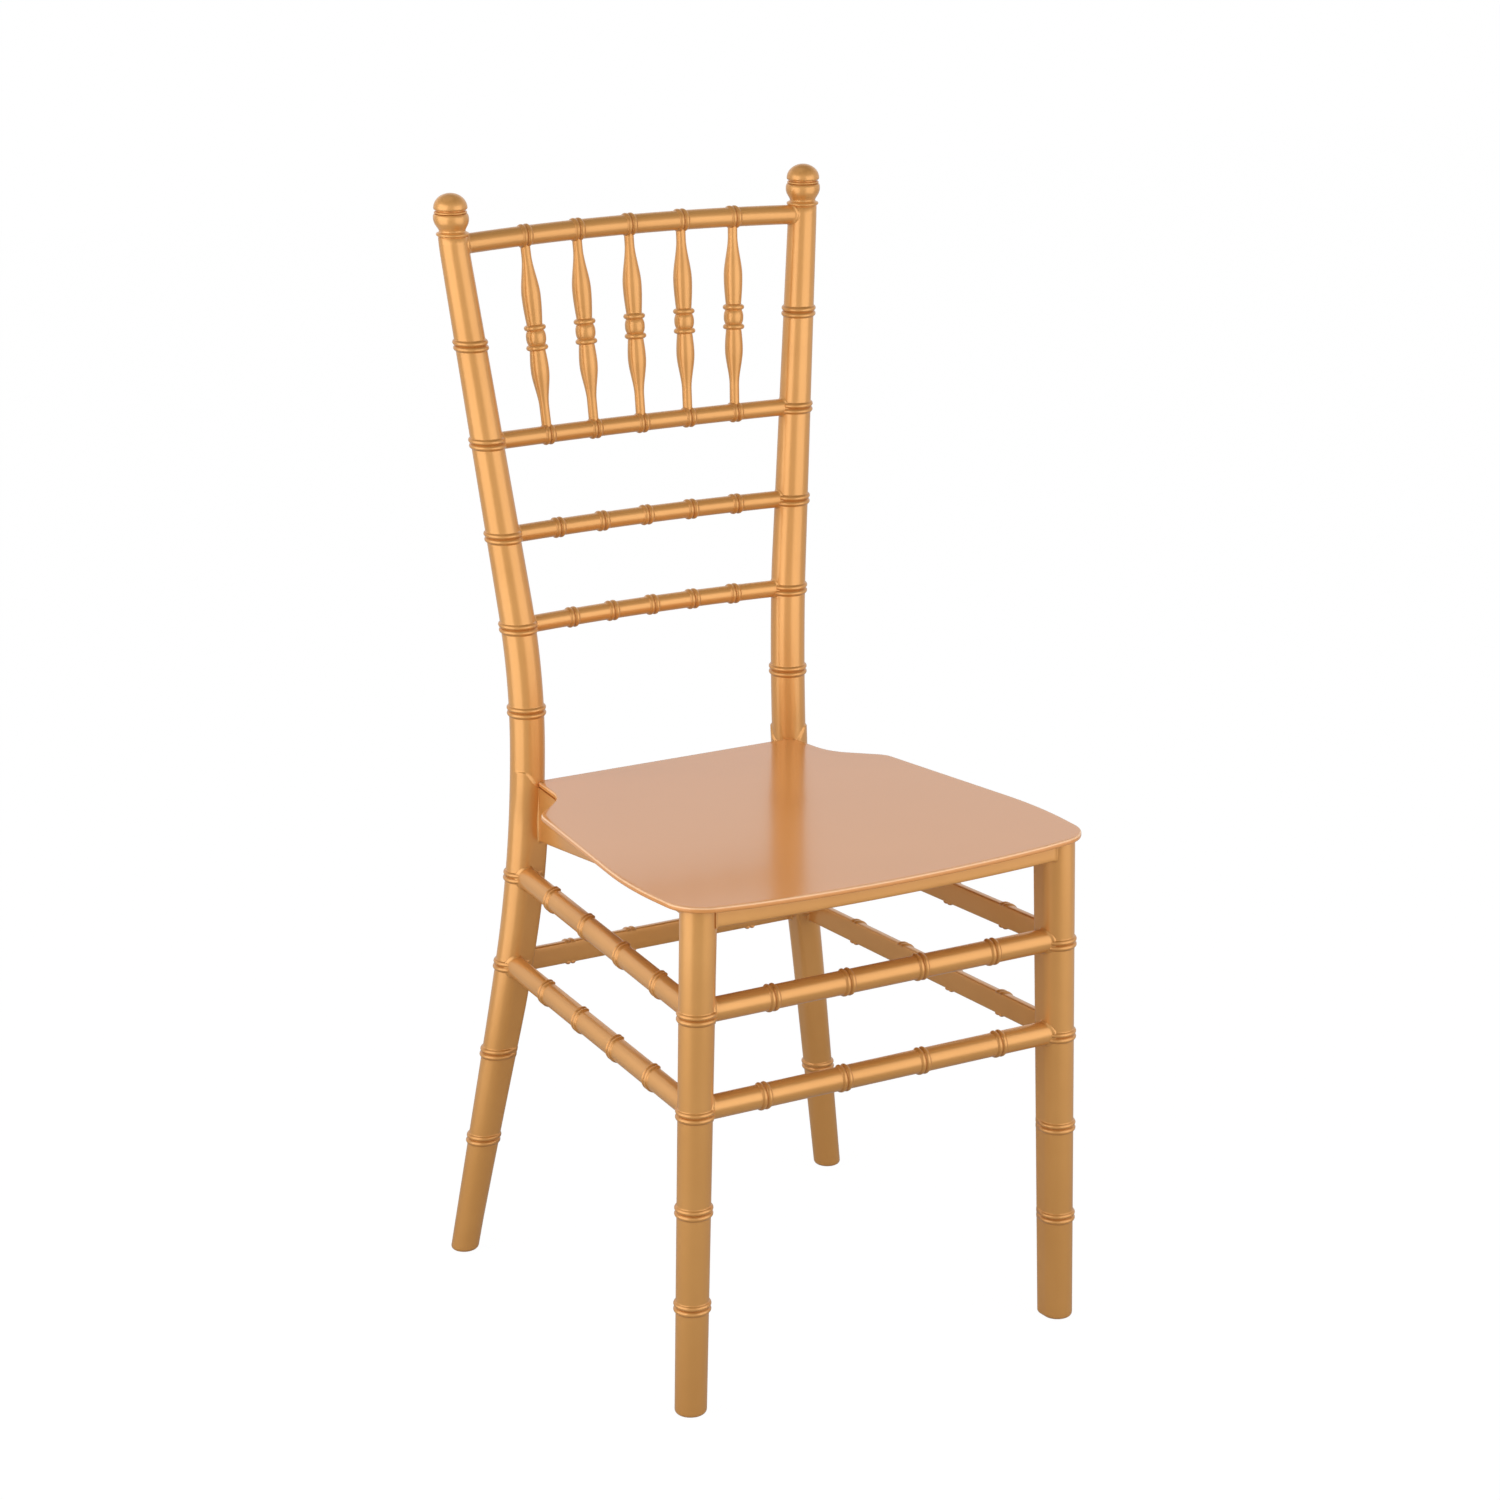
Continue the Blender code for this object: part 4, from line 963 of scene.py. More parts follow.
def make_leg(name, leg, side, rings, end, kit, fine=(), tip=()):
    """Leg or post from its foot up, with ring pairs, and a turned tip where one is given."""
    rows = foot_rows(leg, side)
    start = FOOT_CLEARANCE + FOOT_ROUND + FINE_STEP
    for z in stations(start, end, rings, fine):
        rows.append((z, leg_loop(leg, side, z)))
    for z, radius in tip:
        rows.append((z, leg_loop(leg, side, z, radius)))
    item = skin(name + "_form", rows)
    add_rings(item, rings, LEG_RING_RISE, kit)
    finish_piece(item, [name])


def add_rings(item, rings, rise, kit):
    points = add_points("ring_places", [(place, 0.0, 0.0) for place in rings])
    apply_tree(item, kit.ring_tree, {
        "Ring Places": points,
        "Half Height": RING_HALF,
        "Rise": rise,
        "Valley": RING_VALLEY,
        "Material": kit.gold,
    })
    drop_object(points)


def tip_steps():
    """Heights and radii of the post's turned tip, ending in the socket for the cap's stem."""
    steps = [(TOP - drop, radius) for drop, radius in TIP_PROFILE]
    bore = CAP_STEM_R + GAP
    return steps + [(GROOVE_Z, bore), (GROOVE_Z - CAP_STEM_DEPTH - GAP, bore)]


def make_turned(name, line, nodes, material, kit):
    """Round piece about a line of (place, radius) points."""
    item = add_profile(name, line)
    apply_tree(item, kit.turned_tree, {"Sides": TURNED_SIDES, "Material": material})
    face_outward(item.data)
    finish_piece(item, nodes)


def make_cap(name, side, kit):
    """Domed cap with a band and a groove, on a stem that presses into the post."""
    x, y = post_axis(GROOVE_Z)
    steps = [(GROOVE_Z - CAP_STEM_DEPTH, CAP_STEM_R)]
    steps += [(TOP - drop, radius) for drop, radius in CAP_BAND]
    for cos, sin in quarter_turn(DOME_STEPS)[:-1]:
        steps.append((TOP - CAP_DOME_BASE + CAP_DOME_BASE * sin, CAP_DOME_R * cos))
    steps.append((TOP, CAP_DOME_POLE))
    line = [(Vector((side * x, y, z)), radius) for z, radius in steps]
    make_turned(name + "_form", line, [name], kit.gold, kit)


def make_glides(kit):
    """Nylon pads on stems in the four feet."""
    number = 1
    for leg in (FRONT_LEG, POST):
        pad = leg.radius(0.0) - GLIDE_RIM
        x, y = leg.axis(0.0)
        steps = []
        for cos, sin in quarter_turn(GLIDE_EDGE_STEPS):
            steps.append((GLIDE_EDGE * (1.0 - cos), pad - GLIDE_EDGE * (1.0 - sin)))
        steps += [(GLIDE_PAD_HEIGHT, pad), (GLIDE_PAD_HEIGHT + SHOULDER_STEP, GLIDE_STEM_R)]
        steps += [(GLIDE_STEM_TOP, GLIDE_STEM_R)]
        for side in (-1.0, 1.0):
            name = "foot_glide_%d" % number
            line = [(Vector((side * x, y, z)), radius) for z, radius in steps]
            make_turned(name + "_form", line, [name], kit.nylon, kit)
            number += 1


# Rails and spindles of the back
def finish_rail(name, rows, rings, kit):
    item = skin(name + "_form", rows)
    add_rings(item, rings, RAIL_RING_RISE, kit)
    finish_piece(item, [name])


def back_rail_centre(rail, x):
    end_x, end_y = post_axis(rail.z)
    swell = 1.0 - (x / end_x) ** 2
    return Vector((x, end_y + rail.bow * swell, rail.z + rail.arch * swell))


def make_back_rail(name, rail, kit):
    """Bowed round rail between the posts, with ring pairs and soft joints."""
    reach = post_axis(rail.z)[0]
    end = reach - RAIL_END
    joints = [(POST, -1.0), (POST, 1.0)]
    rings = spread(rail.pitch, RINGS_PER_BACK_RAIL)
    fine = joint_spans(end, reach, post_radius(rail.z), STICK_FILLET)
    rows = []
    for x in stations(-end, end, rings, fine):
        centre = back_rail_centre(rail, x)
        loop = []
        for i in range(RAIL_SIDES):
            angle = 2.0 * math.pi * i / RAIL_SIDES
            way = Vector((0.0, math.cos(angle), math.sin(angle)))
            place = swell_out(centre + way * rail.radius, way, joints, STICK_FILLET)
            loop.append(SkinPoint(place, way, 1.0))
        rows.append((x, loop))
    finish_rail(name, rows, rings, kit)


def spindle_radius(half, along, length):
    """Radius of a spindle at a distance from its ball: ball, bead, vase and neck."""
    first = SPINDLE_BEAD_AT - SPINDLE_BEAD_HALF
    shoulder = SPINDLE_BEAD_AT + SPINDLE_BEAD_HALF
    if along < first:
        return mix(SPINDLE_BALL_R, SPINDLE_GROOVE_R, (along / first) ** SPINDLE_BALL_POWER)
    if along < shoulder:
        off = (along - SPINDLE_BEAD_AT) / SPINDLE_BEAD_HALF
        base = mix(SPINDLE_GROOVE_R, SPINDLE_SHOULDER_R, (off + 1.0) / 2.0)
        return mix(base, SPINDLE_BEAD_R, math.sqrt(max(0.0, 1.0 - off * off)))
    share = (along - shoulder) / (length - shoulder)
    if share < half.widest:
        return mix(SPINDLE_SHOULDER_R, half.radius, math.sin(share / half.widest * math.pi / 2.0))
    return mix(half.radius, SPINDLE_NECK_R, smooth(half.widest, half.neck, share))


def make_spindle(name, place, kit):
    """Turned spindle between the spindle rail and the top rail."""
    low = back_rail_centre(SPINDLE_RAIL, place * SPINDLE_RAIL.pitch)
    high = back_rail_centre(TOP_RAIL, place * TOP_RAIL.pitch)
    start = low.z - SPINDLE_TENON
    end = high.z + SPINDLE_TENON
    ball = (start + end) / 2.0 - SPINDLE_BALL_SAG
    count = math.ceil((end - start) / FINE_STEP)
    line = []
    for i in range(count + 1):
        z = mix(start, end, i / count)
        spot = low.lerp(high, (z - low.z) / (high.z - low.z))
        half, length = (SPINDLE_LOWER, ball - start) if z < ball else (SPINDLE_UPPER, end - ball)
        line.append((spot, spindle_radius(half, abs(z - ball), length)))
    make_turned(name + "_form", line, [name], kit.gold, kit)


# Rails under the seat
def half_round_points():
    """Rail section as (inward, up, outward way, ring share): half circle, straights, flat inner face."""
    half = RAIL_SIDES // 2
    points = []
    for i in range(half + 1):
        angle = math.pi * (0.5 + i / half)
        way = (math.cos(angle), math.sin(angle))
        points.append((SEAT_RAIL_R * way[0], SEAT_RAIL_R * way[1], way, 1.0))
    inner = SEAT_RAIL_FLAT - SEAT_RAIL_CORNER
    level = SEAT_RAIL_R - SEAT_RAIL_CORNER
    for sign in (-1.0, 1.0):
        arc = []
        for i, (cos, sin) in enumerate(quarter_turn(EDGE_STEPS)):
            way = (sin, sign * cos)
            u = inner + SEAT_RAIL_CORNER * way[0]
            v = sign * level + SEAT_RAIL_CORNER * way[1]
            arc.append((u, v, way, 1.0 if i < CORNER_RING_STEPS else 0.0))
        points += arc if sign < 0.0 else arc[::-1]
        if sign < 0.0:
            points += [(SEAT_RAIL_FLAT, level * share, (1.0, 0.0), 0.0) for share in (-0.5, 0.0, 0.5)]
    return points


HALF_ROUND = half_round_points()


def half_round_loop(centre, along_x, outward, joints):
    loop = []
    for u, v, way, share in HALF_ROUND:
        offset = oriented(along_x, 0.0, -u * outward, v)
        facing = oriented(along_x, 0.0, -way[0] * outward, way[1])
        place = swell_out(Vector(centre) + offset, facing, joints, STICK_FILLET)
        loop.append(SkinPoint(place, facing, share))
    return loop


def make_cross_rail(name, z, leg, outward, pitch, kit):
    """Rail along X between two legs, flat on its inner face."""
    reach, y = leg.axis(z)
    end = reach - RAIL_END
    rings = spread(pitch, RINGS_PER_SEAT_RAIL)
    joints = [(leg, -1.0), (leg, 1.0)]
    fine = joint_spans(end, reach, leg.radius(z), STICK_FILLET)
    rows = []
    for x in stations(-end, end, rings, fine):
        rows.append((x, half_round_loop((x, y, z), True, outward, joints)))
    finish_rail(name, rows, rings, kit)


def make_side_rail(name, side, front_z, back_z, pitch, kit):
    """Rail from a front leg back to a rear post, flat on its inner face."""
    front = front_leg_axis(front_z)
    back = post_axis(back_z)
    start = front[1] + RAIL_END
    end = back[1] - RAIL_END
    rings = spread(pitch, RINGS_PER_SEAT_RAIL, (start + end) / 2.0 - SIDE_RINGS_AHEAD)
    joints = [(FRONT_LEG, side), (POST, side)]
    front_joint = front_leg_radius(front_z) + 2.0 * STICK_FILLET
    back_joint = post_radius(back_z) + 2.0 * STICK_FILLET
    fine = ((start, front[1] + front_joint), (back[1] - back_joint, end))
    rows = []
    for y in stations(start, end, rings, fine):
        share = (y - front[1]) / (back[1] - front[1])
        centre = (side * mix(front[0], back[0], share), y, mix(front_z, back_z, share))
        rows.append((y, half_round_loop(centre, False, side, joints)))
    finish_rail(name, rows, rings, kit)


# Seat frame
def front_apron_y(x):
    return FRONT_LEG_Y - FRONT_APRON_AHEAD - FRONT_BOW * (1.0 - (x / FRONT_TOP_X) ** 2)


def side_line_x(y, rear_in=0.0):
    """Line from a front leg's axis back to a rear post's axis, or to a place inside that axis."""
    return mix(FRONT_TOP_X, POST_X - rear_in, (y - FRONT_LEG_Y) / LEG_SPAN)


def side_apron_x(y):
    return side_line_x(y, APRON_REAR_IN)


def board_points(bottom, top):
    """Upright board section as (across, up, outward way), with rounded lower edges."""
    half = APRON_THICKNESS / 2.0
    points = []
    for sign in (-1.0, 1.0):
        levels = [mix(top, bottom + APRON_EDGE, i / BOARD_STEPS) for i in range(BOARD_STEPS)]
        side = [(sign * half, level, (sign, 0.0)) for level in levels]
        for cos, sin in quarter_turn(EDGE_STEPS):
            way = (sign * cos, -sin)
            across = sign * (half - APRON_EDGE) + APRON_EDGE * way[0]
            side.append((across, bottom + APRON_EDGE + APRON_EDGE * way[1], way))
        points += side if sign < 0.0 else side[::-1]
    return points


def board_loop(along_x, place, across, bottom, top, joints):
    """Board section at a place along it, eased into the legs it meets."""
    ease, round_size = (ease_out, FRONT_APRON_EASE) if along_x else (swell_out, APRON_FILLET)
    loop = []
    for u, v, way in board_points(bottom, top):
        point = oriented(along_x, place, across + u, v)
        facing = oriented(along_x, 0.0, way[0], way[1])
        if joints:
            point = ease(point, facing, joints, round_size)
            point.z = min(point.z, top)
        loop.append(SkinPoint(point, facing, 0.0))
    return loop


def box(low, high):
    corners = ((low[0], low[1]), (high[0], low[1]), (high[0], high[1]), (low[0], high[1]))
    still = Vector((0.0, 0.0, 1.0))
    rows = [(z, [SkinPoint(Vector((x, y, z)), still, 0.0) for x, y in corners]) for z in (low[2], high[2])]
    return skin("tool", rows)


def rod(x, y, steps):
    rows = []
    still = Vector((0.0, 0.0, 1.0))
    for z, radius in steps:
        angles = [2.0 * math.pi * i / RAIL_SIDES for i in range(RAIL_SIDES)]
        places = [Vector((x + radius * math.cos(a), y + radius * math.sin(a), z)) for a in angles]
        rows.append((z, [SkinPoint(place, still, 0.0) for place in places]))
    return skin("tool", rows)


def add_lug(board, x, y, toward):
    """Screw lug standing out from a board in the given direction, with a clearance hole."""
    near = Vector((x, y)) - Vector(toward) * (SCREW_INSET + OVERLAP)
    far = Vector((x, y)) + Vector(toward) * LUG_HALF
    wide = Vector((abs(toward[1]), abs(toward[0]))) * LUG_HALF
    low = (min(near.x, far.x) - wide.x, min(near.y, far.y) - wide.y, LUG_BOTTOM)
    high = (max(near.x, far.x) + wide.x, max(near.y, far.y) + wide.y, LUG_TOP)
    cut(board, box(low, high), "UNION")
    hole = SCREW_R + 2.0 * GAP
    cut(board, rod(x, y, ((LUG_BOTTOM - TOOL_REACH, hole), (LUG_TOP + TOOL_REACH, hole))))


def finish_board(name, rows, spots, toward, kit):
    """Board with a lug at each of its screw places, which it returns."""
    board = skin(name + "_form", rows)
    for x, y in spots:
        add_lug(board, x, y, toward)
    finish_piece(board, [name], kit.gold)
    return spots


def make_front_apron(kit):
    """Bowed board under the front edge of the seat; returns its screw places."""
    end = FRONT_TOP_X - APRON_END
    bottom = FRAME_TOP - APRON_FRONT_DROP
    joints = [(FRONT_LEG, -1.0), (FRONT_LEG, 1.0)]
    fine = joint_spans(end, FRONT_TOP_X, FRONT_TOP_R, APRON_FILLET)
    rows = []
    for x in stations(-end, end, (), fine):
        rows.append((x, board_loop(True, x, front_apron_y(x), bottom, FRAME_TOP, joints)))
    inner = APRON_THICKNESS / 2.0
    spots = [(x, front_apron_y(x) + inner + SCREW_INSET) for x in (-SCREW_SPREAD, SCREW_SPREAD)]
    return finish_board("front_apron", rows, spots, (0.0, 1.0), kit)


def make_side_apron(name, side, kit):
    """Board from a front leg to a rear post, deeper at the back; returns its screw places."""
    start = FRONT_LEG_Y + APRON_END
    end = POST_Y - APRON_END
    knee = POST_Y - APRON_DEEP_RUN
    deepen = (APRON_REAR_DROP - APRON_FRONT_DROP) / APRON_DEEP_RUN
    joints = [(FRONT_LEG, side), (POST, side)]
    front_joint = FRONT_LEG_Y + FRONT_TOP_R + 2.0 * APRON_FILLET
    back_joint = POST_Y - POST_SEAT_R - 2.0 * APRON_FILLET
    rows = []
    for y in stations(start, end, (), ((start, front_joint), (back_joint, end))):
        bottom = FRAME_TOP - APRON_FRONT_DROP - deepen * ramp(y - knee, APRON_KNEE_BLEND)
        rows.append((y, board_loop(False, y, side * side_apron_x(y), bottom, FRAME_TOP, joints)))
    spots = []
    for y in (FRONT_LEG_Y + SCREW_BEHIND, POST_Y - SCREW_AHEAD):
        x = side_apron_x(y) - APRON_THICKNESS / 2.0 - SCREW_INSET
        spots.append((side * x, y))
    return finish_board(name, rows, spots, (-side, 0.0), kit)


def make_crossbar(kit):
    """Board between the side aprons, in front of the posts; returns its screw places."""
    y = POST_Y - CROSSBAR_AHEAD
    end = side_apron_x(y) - APRON_THICKNESS / 2.0 + CROSSBAR_HOUSING
    bottom = FRAME_TOP - CROSSBAR_DROP
    rows = [(x, board_loop(True, x, y, bottom, FRAME_TOP, ())) for x in stations(-end, end, ())]
    screw_y = y - APRON_THICKNESS / 2.0 - SCREW_INSET
    spots = [(x, screw_y) for x in (-SCREW_SPREAD, SCREW_SPREAD)]
    return finish_board("rear_crossbar", rows, spots, (0.0, -1.0), kit)


# Seat panel
def fillet(before, corner, after, radius, steps):
    """Points of a round corner between two straight lines, limited by their lengths."""
    c = Vector(corner)
    a = Vector(before) - c
    b = Vector(after) - c
    half = a.angle(b) / 2.0
    run = min(radius / math.tan(half), CORNER_RUN_LIMIT * min(a.length, b.length))
    a.normalize()
    b.normalize()
    centre = c + (a + b).normalized() * (run / math.cos(half))
    first = c + a * run - centre
    last = c + b * run - centre
    turn = math.atan2(first.x * last.y - first.y * last.x, first.dot(last))
    points = []
    for i in range(steps + 1):
        cos = math.cos(turn * i / steps)
        sin = math.sin(turn * i / steps)
        points.append((centre.x + first.x * cos - first.y * sin, centre.y + first.x * sin + first.y * cos))
    return points


Corner = namedtuple("Corner", "place radius steps")


def half_outline():
    """Right half of the seat outline from the middle of the front to the middle of the rear."""
    bend_y = FRONT_LEG_Y + SIDE_BEND_BEHIND
    rear_y = POST_Y - REAR_CORNER_AHEAD
    corner_x = FRONT_TOP_X + FRONT_CORNER_OUT
    corners = (
        Corner((corner_x, FRONT_LEG_Y - FRONT_CORNER_AHEAD), FRONT_CORNER_R, FRONT_CORNER_STEPS),
        Corner((side_line_x(bend_y) + SIDE_BEND_OUT, bend_y), SIDE_BEND_R, SIDE_BEND_STEPS),
        Corner((side_line_x(rear_y) + REAR_CORNER_OUT, rear_y), REAR_CORNER_R, REAR_CORNER_STEPS),
        Corner((POST_X + NOTCH_OUT, POST_Y - NOTCH_AHEAD), NOTCH_R, NOTCH_STEPS),
    )
    points = []
    for i in range(LIP_BOW_STEPS + 1):
        x = corner_x * LIP_BOW_SHARE * i / LIP_BOW_STEPS
        points.append((x, FRONT_LEG_Y - LIP_AHEAD + FRONT_BOW * (x / LIP_BOW_WIDTH) ** 2))
    clear = POST_SEAT_R - POST_BITE
    post_x, post_y = post_axis(SEAT_HEIGHT)
    first = math.atan2(-math.sqrt(clear ** 2 - NOTCH_END_IN ** 2), -NOTCH_END_IN)
    last = math.asin(LIP_REAR_AHEAD / clear) - math.pi
    end = (post_x + clear * math.cos(first), post_y + clear * math.sin(first))
    chain = [points[-1]] + [corner.place for corner in corners] + [end]
    for i, corner in enumerate(corners):
        points += fillet(chain[i], corner.place, chain[i + 2], corner.radius, corner.steps)
    if last > first:
        last -= 2.0 * math.pi
    for i in range(NOTCH_END_STEPS + 1):
        angle = mix(first, last, i / NOTCH_END_STEPS)
        points.append((post_x + clear * math.cos(angle), post_y + clear * math.sin(angle)))
    return points


def seat_outline():
    right = half_outline()
    left = [(-x, y) for x, y in reversed(right[1:])]
    return right + left


def shrink(points, amount):
    """Move each outline point inward by an amount along its corner bisector."""
    moved = []
    for i, point in enumerate(points):
        p = Vector(point)
        a = (p - Vector(points[i - 1])).normalized()
        b = (Vector(points[(i + 1) % len(points)]) - p).normalized()
        normal = Vector((-a.y - b.y, a.x + b.x)).normalized()
        scale = max(MITRE_LIMIT, normal.dot(Vector((-a.y, a.x))))
        moved.append(tuple(p + normal * (amount / scale)))
    return moved


def make_panel(spots, kit):
    """Seat panel with a rounded lip, stiffening ribs and screw bosses underneath."""
    outline = seat_outline()
    layers = [(PANEL_UNDER, LIP_ROUND + LIP_BORDER)]
    for cos, sin in quarter_turn(EDGE_STEPS):
        layers.append((PANEL_UNDER + LIP_ROUND * (1.0 - cos), LIP_ROUND * (1.0 - sin)))
    for cos, sin in quarter_turn(EDGE_STEPS):
        layers.append((SEAT_HEIGHT - LIP_ROUND * (1.0 - sin), LIP_ROUND * (1.0 - cos)))
    layers.append((SEAT_HEIGHT, LIP_ROUND + LIP_BORDER))
    up = Vector((0.0, 0.0, 1.0))
    rows = []
    for z, inset in layers:
        loop = shrink(outline, inset) if inset > 0.0 else outline
        rows.append((z, [SkinPoint(Vector((x, y, z)), up, 0.0) for x, y in loop]))
    panel = skin("seat_panel_form", rows)
    low = PANEL_UNDER - RIB_DEPTH
    high = PANEL_UNDER + OVERLAP
    half = RIB_THICKNESS / 2.0
    inset = APRON_THICKNESS / 2.0 + RIB_CLEARANCE
    front = FRONT_LEG_Y - FRONT_APRON_AHEAD + inset
    back = POST_Y - CROSSBAR_AHEAD - inset
    for x in (-RIB_SPACING, 0.0, RIB_SPACING):
        cut(panel, box((x - half, front, low), (x + half, back, high)), "UNION")
    for i in range(CROSS_RIBS):
        y = mix(front, back, (i + 1) / (CROSS_RIBS + 1))
        reach = side_apron_x(y) - inset
        cut(panel, box((-reach, y - half, low), (reach, y + half, high)), "UNION")
    base = PANEL_UNDER - BOSS_DEPTH
    hole = SCREW_R + GAP
    for x, y in spots:
        cut(panel, rod(x, y, ((base, BOSS_R), (high, BOSS_R))), "UNION")
        cut(panel, rod(x, y, ((base - TOOL_REACH, hole), (base + SCREW_BITE + GAP, hole))))
    finish_piece(panel, ["seat_panel"], kit.seat_gold)


def make_screws(spots, kit):
    """Pan-head screws up through the lugs into the bosses."""
    shank = GAP + LUG_THICKNESS + GAP + SCREW_BITE
    steps = [(-SCREW_HEAD_HEIGHT, SCREW_HEAD_R * SCREW_HEAD_POLE)]
    for cos, sin in quarter_turn(SCREW_HEAD_STEPS)[1:]:
        steps.append((-SCREW_HEAD_HEIGHT * mix(1.0, SCREW_HEAD_CROWN, 1.0 - cos), SCREW_HEAD_R * sin))
    steps += [(-SHOULDER_STEP, SCREW_HEAD_R), (0.0, SCREW_R)]
    steps += [(shank - SCREW_POINT, SCREW_R), (shank, SCREW_R * SCREW_TIP_SHARE)]
    profile = add_profile("screw_profile", [((0.0, 0.0, z), radius) for z, radius in steps])
    item = add_points("seat_screws_form", [(x, y, LUG_BOTTOM - GAP) for x, y in spots])
    apply_tree(item, kit.screw_tree, {
        "Profile": profile,
        "Sides": SCREW_SIDES,
        "Slot Size": (SCREW_SLOT_LENGTH, SCREW_SLOT_WIDTH, 2.0 * SCREW_SLOT_DEPTH),
        "Slot Place": (0.0, 0.0, -SCREW_HEAD_HEIGHT),
        "Material": kit.zinc,
    })
    drop_object(profile)
    face_outward(item.data)
    names = ["seat_screw_%d" % (i + 1) for i in range(len(spots))]
    finish_piece(item, names)


Kit = namedtuple("Kit", "ring_tree turned_tree screw_tree gold seat_gold zinc nylon")


def make_kit():
    pearl = build_pearl_group()
    golds = [make_gold(gold, pearl) for gold in (FRAME_GOLD, SEAT_GOLD)]
    trees = (build_ring_tree(), build_turned_tree(), build_screw_tree())
    return Kit(*trees, *golds, make_grained(ZINC), make_grained(NYLON))


def make_back(kit):
    rails = (
        ("top_rail", TOP_RAIL), ("spindle_rail", SPINDLE_RAIL),
        ("back_slat_upper", UPPER_SLAT), ("back_slat_lower", LOWER_SLAT),
    )
    for name, rail in rails:
        make_back_rail(name, rail, kit)
    for i, place in enumerate(spread(1.0, SPINDLE_COUNT)):
        make_spindle("spindle_%d" % (i + 1), place, kit)


def make_seat_rails(kit):
    make_cross_rail("front_rail_upper", UPPER_RAIL_Z, FRONT_LEG, -1.0, FRONT_UPPER_PITCH, kit)
    make_cross_rail("front_rail_lower", LOWER_RAIL_Z, FRONT_LEG, -1.0, FRONT_LOWER_PITCH, kit)
    make_cross_rail("rear_rail", LOWER_RAIL_BACK_Z, POST, 1.0, REAR_PITCH, kit)
    for side, word in ((-1.0, "left"), (1.0, "right")):
        make_side_rail(word + "_rail_upper", side, UPPER_RAIL_Z, UPPER_RAIL_BACK_Z, SIDE_UPPER_PITCH, kit)
        make_side_rail(word + "_rail_lower", side, LOWER_RAIL_Z, LOWER_RAIL_BACK_Z, SIDE_LOWER_PITCH, kit)


def make_chair():
    kit = make_kit()
    seat_zone = ((SEAT_HEIGHT - SLEEVE_FADE, SEAT_HEIGHT + SLEEVE_HIGH + SLEEVE_EDGE),)
    tip_start = COLLAR_Z - 2.0 * COLLAR_HALF
    for side, word in ((-1.0, "left"), (1.0, "right")):
        make_leg("front_leg_" + word, FRONT_LEG, side, front_leg_rings(), FRAME_TOP, kit)
        make_leg("rear_leg_" + word, POST, side, post_rings(), tip_start, kit, seat_zone, tip_steps())
        make_cap("post_cap_" + word, side, kit)
    make_back(kit)
    make_seat_rails(kit)
    spots = make_front_apron(kit)
    for side, word in ((-1.0, "left"), (1.0, "right")):
        spots += make_side_apron(word + "_apron", side, kit)
    spots += make_crossbar(kit)
    make_panel(spots, kit)
    make_screws(spots, kit)
    make_glides(kit)


# Studio
def make_floor():
    """White floor that shows as background white and keeps the chair's soft shadow; in reflections it
    glows dimmer near the chair, a painted shade.
    """
    mesh = bpy.data.meshes.new("studio_floor")
    signs = ((-1.0, -1.0), (1.0, -1.0), (1.0, 1.0), (-1.0, 1.0))
    mesh.from_pydata([(x * FLOOR_HALF, y * FLOOR_HALF, 0.0) for x, y in signs], [], [(0, 1, 2, 3)])
    floor = add_object("studio_floor", mesh)
    material = bpy.data.materials.new("studio_white")
    material.use_nodes = True
    tree = material.node_tree
    tree.nodes.clear()
    rays = node(tree, "ShaderNodeLightPath").outputs
    seen = math_node(tree, "MAXIMUM", rays["Is Camera Ray"], rays["Is Transmission Ray"])
    place = node(tree, "ShaderNodeTexCoord").outputs["Object"]
    away = node(tree, "ShaderNodeVectorMath", {0: place}, operation="LENGTH").outputs["Value"]
    # Painted shade: the floor's glow in reflections is dimmer near the chair
    painted_reflection = value_range(tree, away, FLOOR_PAINTED_REFLECTION_RUN, FLOOR_PAINTED_REFLECTION)
    reflected_glow = math_node(tree, "MULTIPLY", rays["Is Glossy Ray"], painted_reflection)
    share = math_node(tree, "MAXIMUM", math_node(tree, "MULTIPLY", seen, FLOOR_SEEN_SHARE), reflected_glow)
    paint = node(tree, "ShaderNodeBsdfDiffuse", {"Color": FLOOR_PAINT})
    glow = node(tree, "ShaderNodeEmission", {"Color": WHITE, "Strength": FLOOR_GLOW})
    mixed = node(tree, "ShaderNodeMixShader", {0: share, 1: paint.outputs[0], 2: glow.outputs[0]})
    node(tree, "ShaderNodeOutputMaterial", {"Surface": mixed.outputs[0]})
    mesh.materials.append(material)


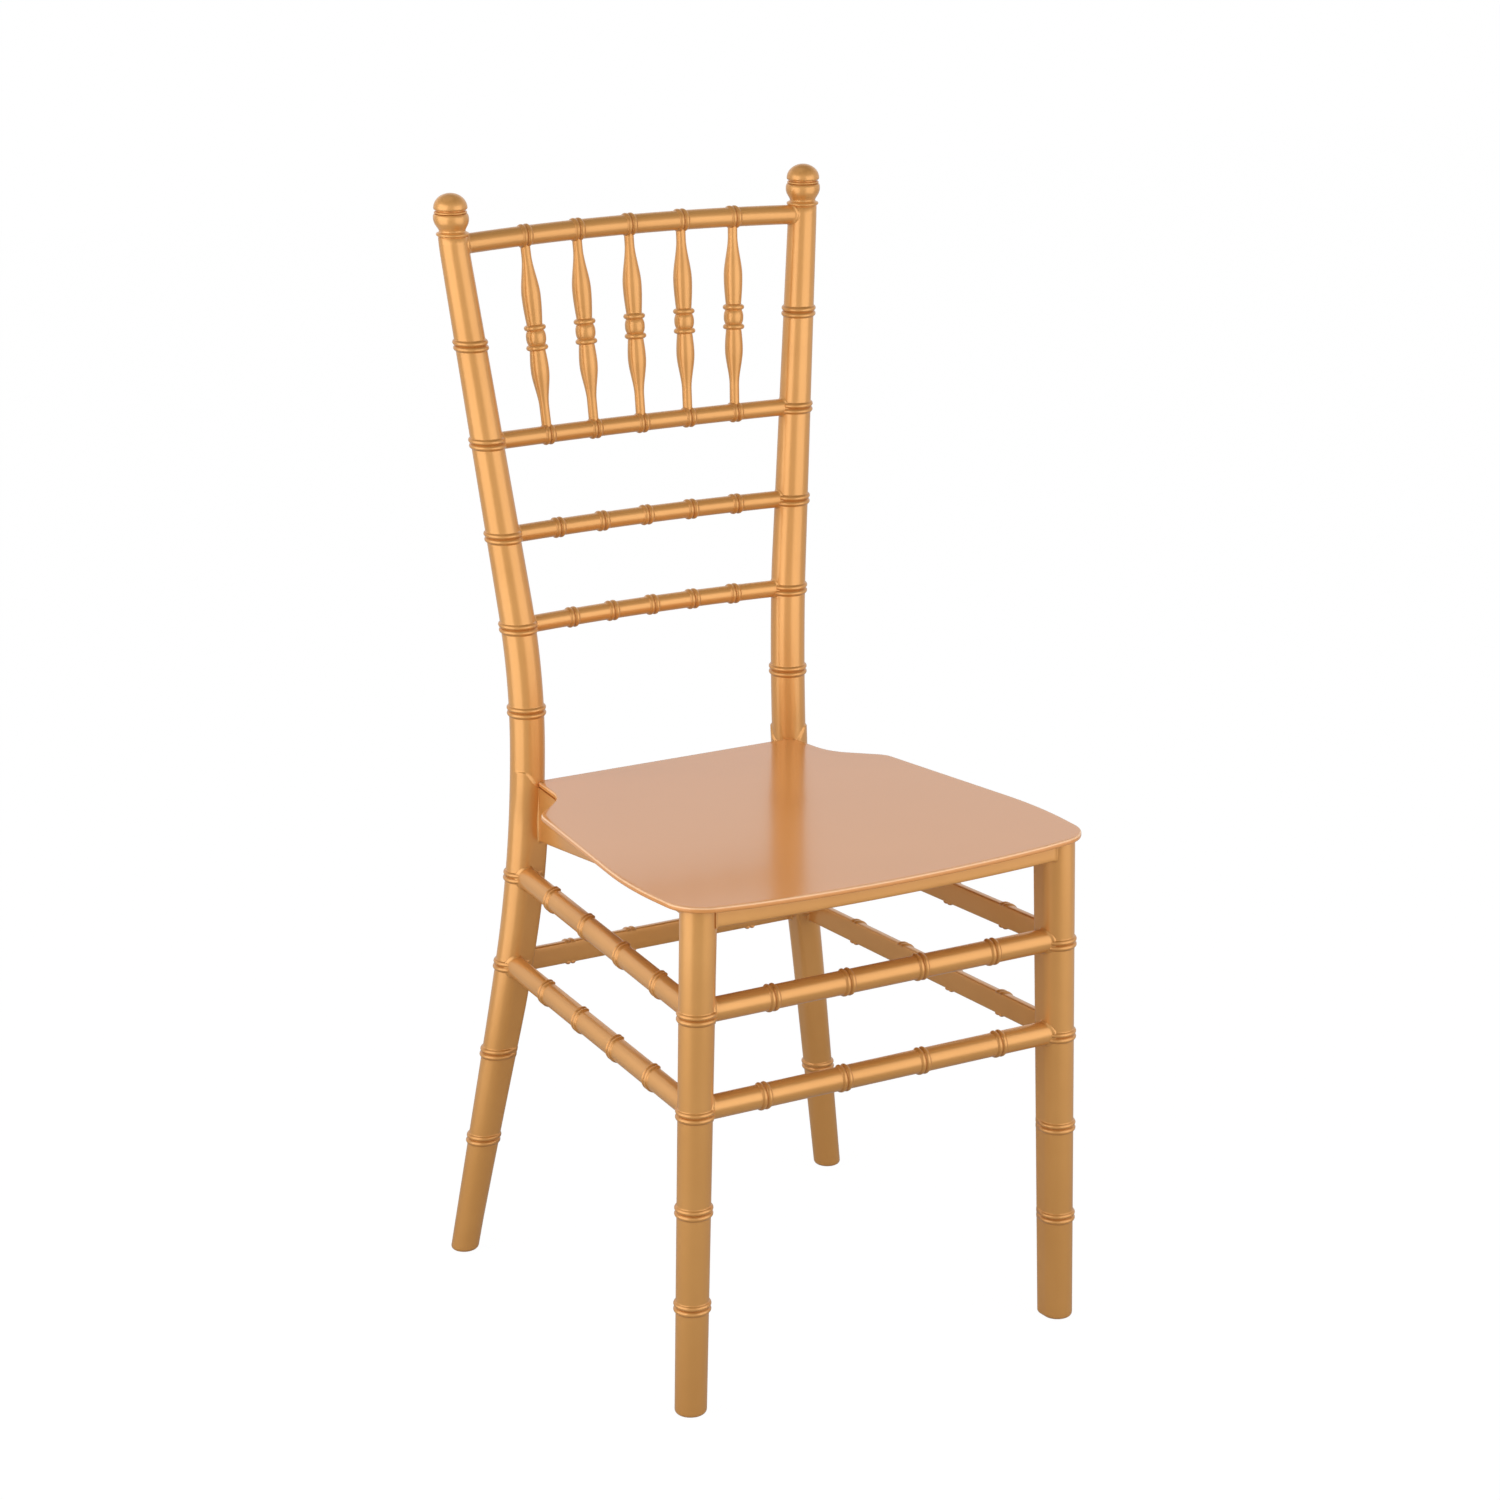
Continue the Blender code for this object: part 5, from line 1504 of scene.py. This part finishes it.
def make_world():
    """White backdrop behind the chair, and a dimmer room on the camera's side."""
    world = bpy.data.worlds.new("studio_world")
    bpy.context.scene.world = world
    world.use_nodes = True
    tree = world.node_tree
    tree.nodes.clear()
    rays = node(tree, "ShaderNodeLightPath").outputs
    seen = math_node(tree, "MAXIMUM", rays["Is Camera Ray"], rays["Is Transmission Ray"])
    way = node(tree, "ShaderNodeTexCoord").outputs["Generated"]
    behind = node(tree, "ShaderNodeVectorMath", {0: way, 1: BACKDROP_WAY}, operation="DOT_PRODUCT")
    wall = value_range(tree, behind.outputs["Value"], BACKDROP_EDGE)
    up = node(tree, "ShaderNodeSeparateXYZ", {0: way}).outputs["Z"]
    above = value_range(tree, up, BACKDROP_FOOT)
    ceiling = value_range(tree, up, CEILING_EDGE, (1.0, CEILING_SHARE))
    backdrop = math_node(tree, "MULTIPLY", wall, above)
    room = value_range(tree, backdrop, wanted=(ROOM_LIGHT, BACKDROP_LIGHT))
    strength = math_node(tree, "MAXIMUM", seen, math_node(tree, "MULTIPLY", room, ceiling))
    back = node(tree, "ShaderNodeBackground", {"Color": WHITE, "Strength": strength})
    node(tree, "ShaderNodeOutputWorld", {"Surface": back.outputs[0]})


def add_lamp(lamp):
    data = bpy.data.lights.new(lamp.name, "AREA")
    data.shape = "RECTANGLE"
    data.size = lamp.width
    data.size_y = lamp.height
    data.energy = lamp.watts
    item = add_object(lamp.name, data)
    item.location = lamp.place
    item.rotation_euler = (AIM - Vector(lamp.place)).to_track_quat("-Z", "Y").to_euler()
    item.visible_camera = False


def make_camera():
    data = bpy.data.cameras.new("photo_camera")
    data.sensor_width = SENSOR_WIDTH
    data.lens = CAMERA_LENS
    camera = add_object("photo_camera", data)
    camera.location = CAMERA_PLACE
    base = Euler((CAMERA_TILT, 0.0, CAMERA_TURN)).to_matrix()
    camera.rotation_euler = (base @ Matrix.Rotation(CAMERA_ROLL, 3, "Z")).to_euler()
    bpy.context.scene.camera = camera


def make_studio():
    make_floor()
    make_world()
    for lamp in LAMPS:
        add_lamp(lamp)
    make_camera()
    bpy.context.scene.view_settings.view_transform = "Standard"


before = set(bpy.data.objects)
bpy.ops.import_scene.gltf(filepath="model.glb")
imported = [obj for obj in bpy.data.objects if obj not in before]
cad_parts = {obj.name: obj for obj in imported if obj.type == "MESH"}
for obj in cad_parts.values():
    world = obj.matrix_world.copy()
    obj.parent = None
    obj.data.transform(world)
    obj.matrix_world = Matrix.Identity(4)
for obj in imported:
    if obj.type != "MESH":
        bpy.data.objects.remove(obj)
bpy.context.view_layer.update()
make_chair()
make_studio()
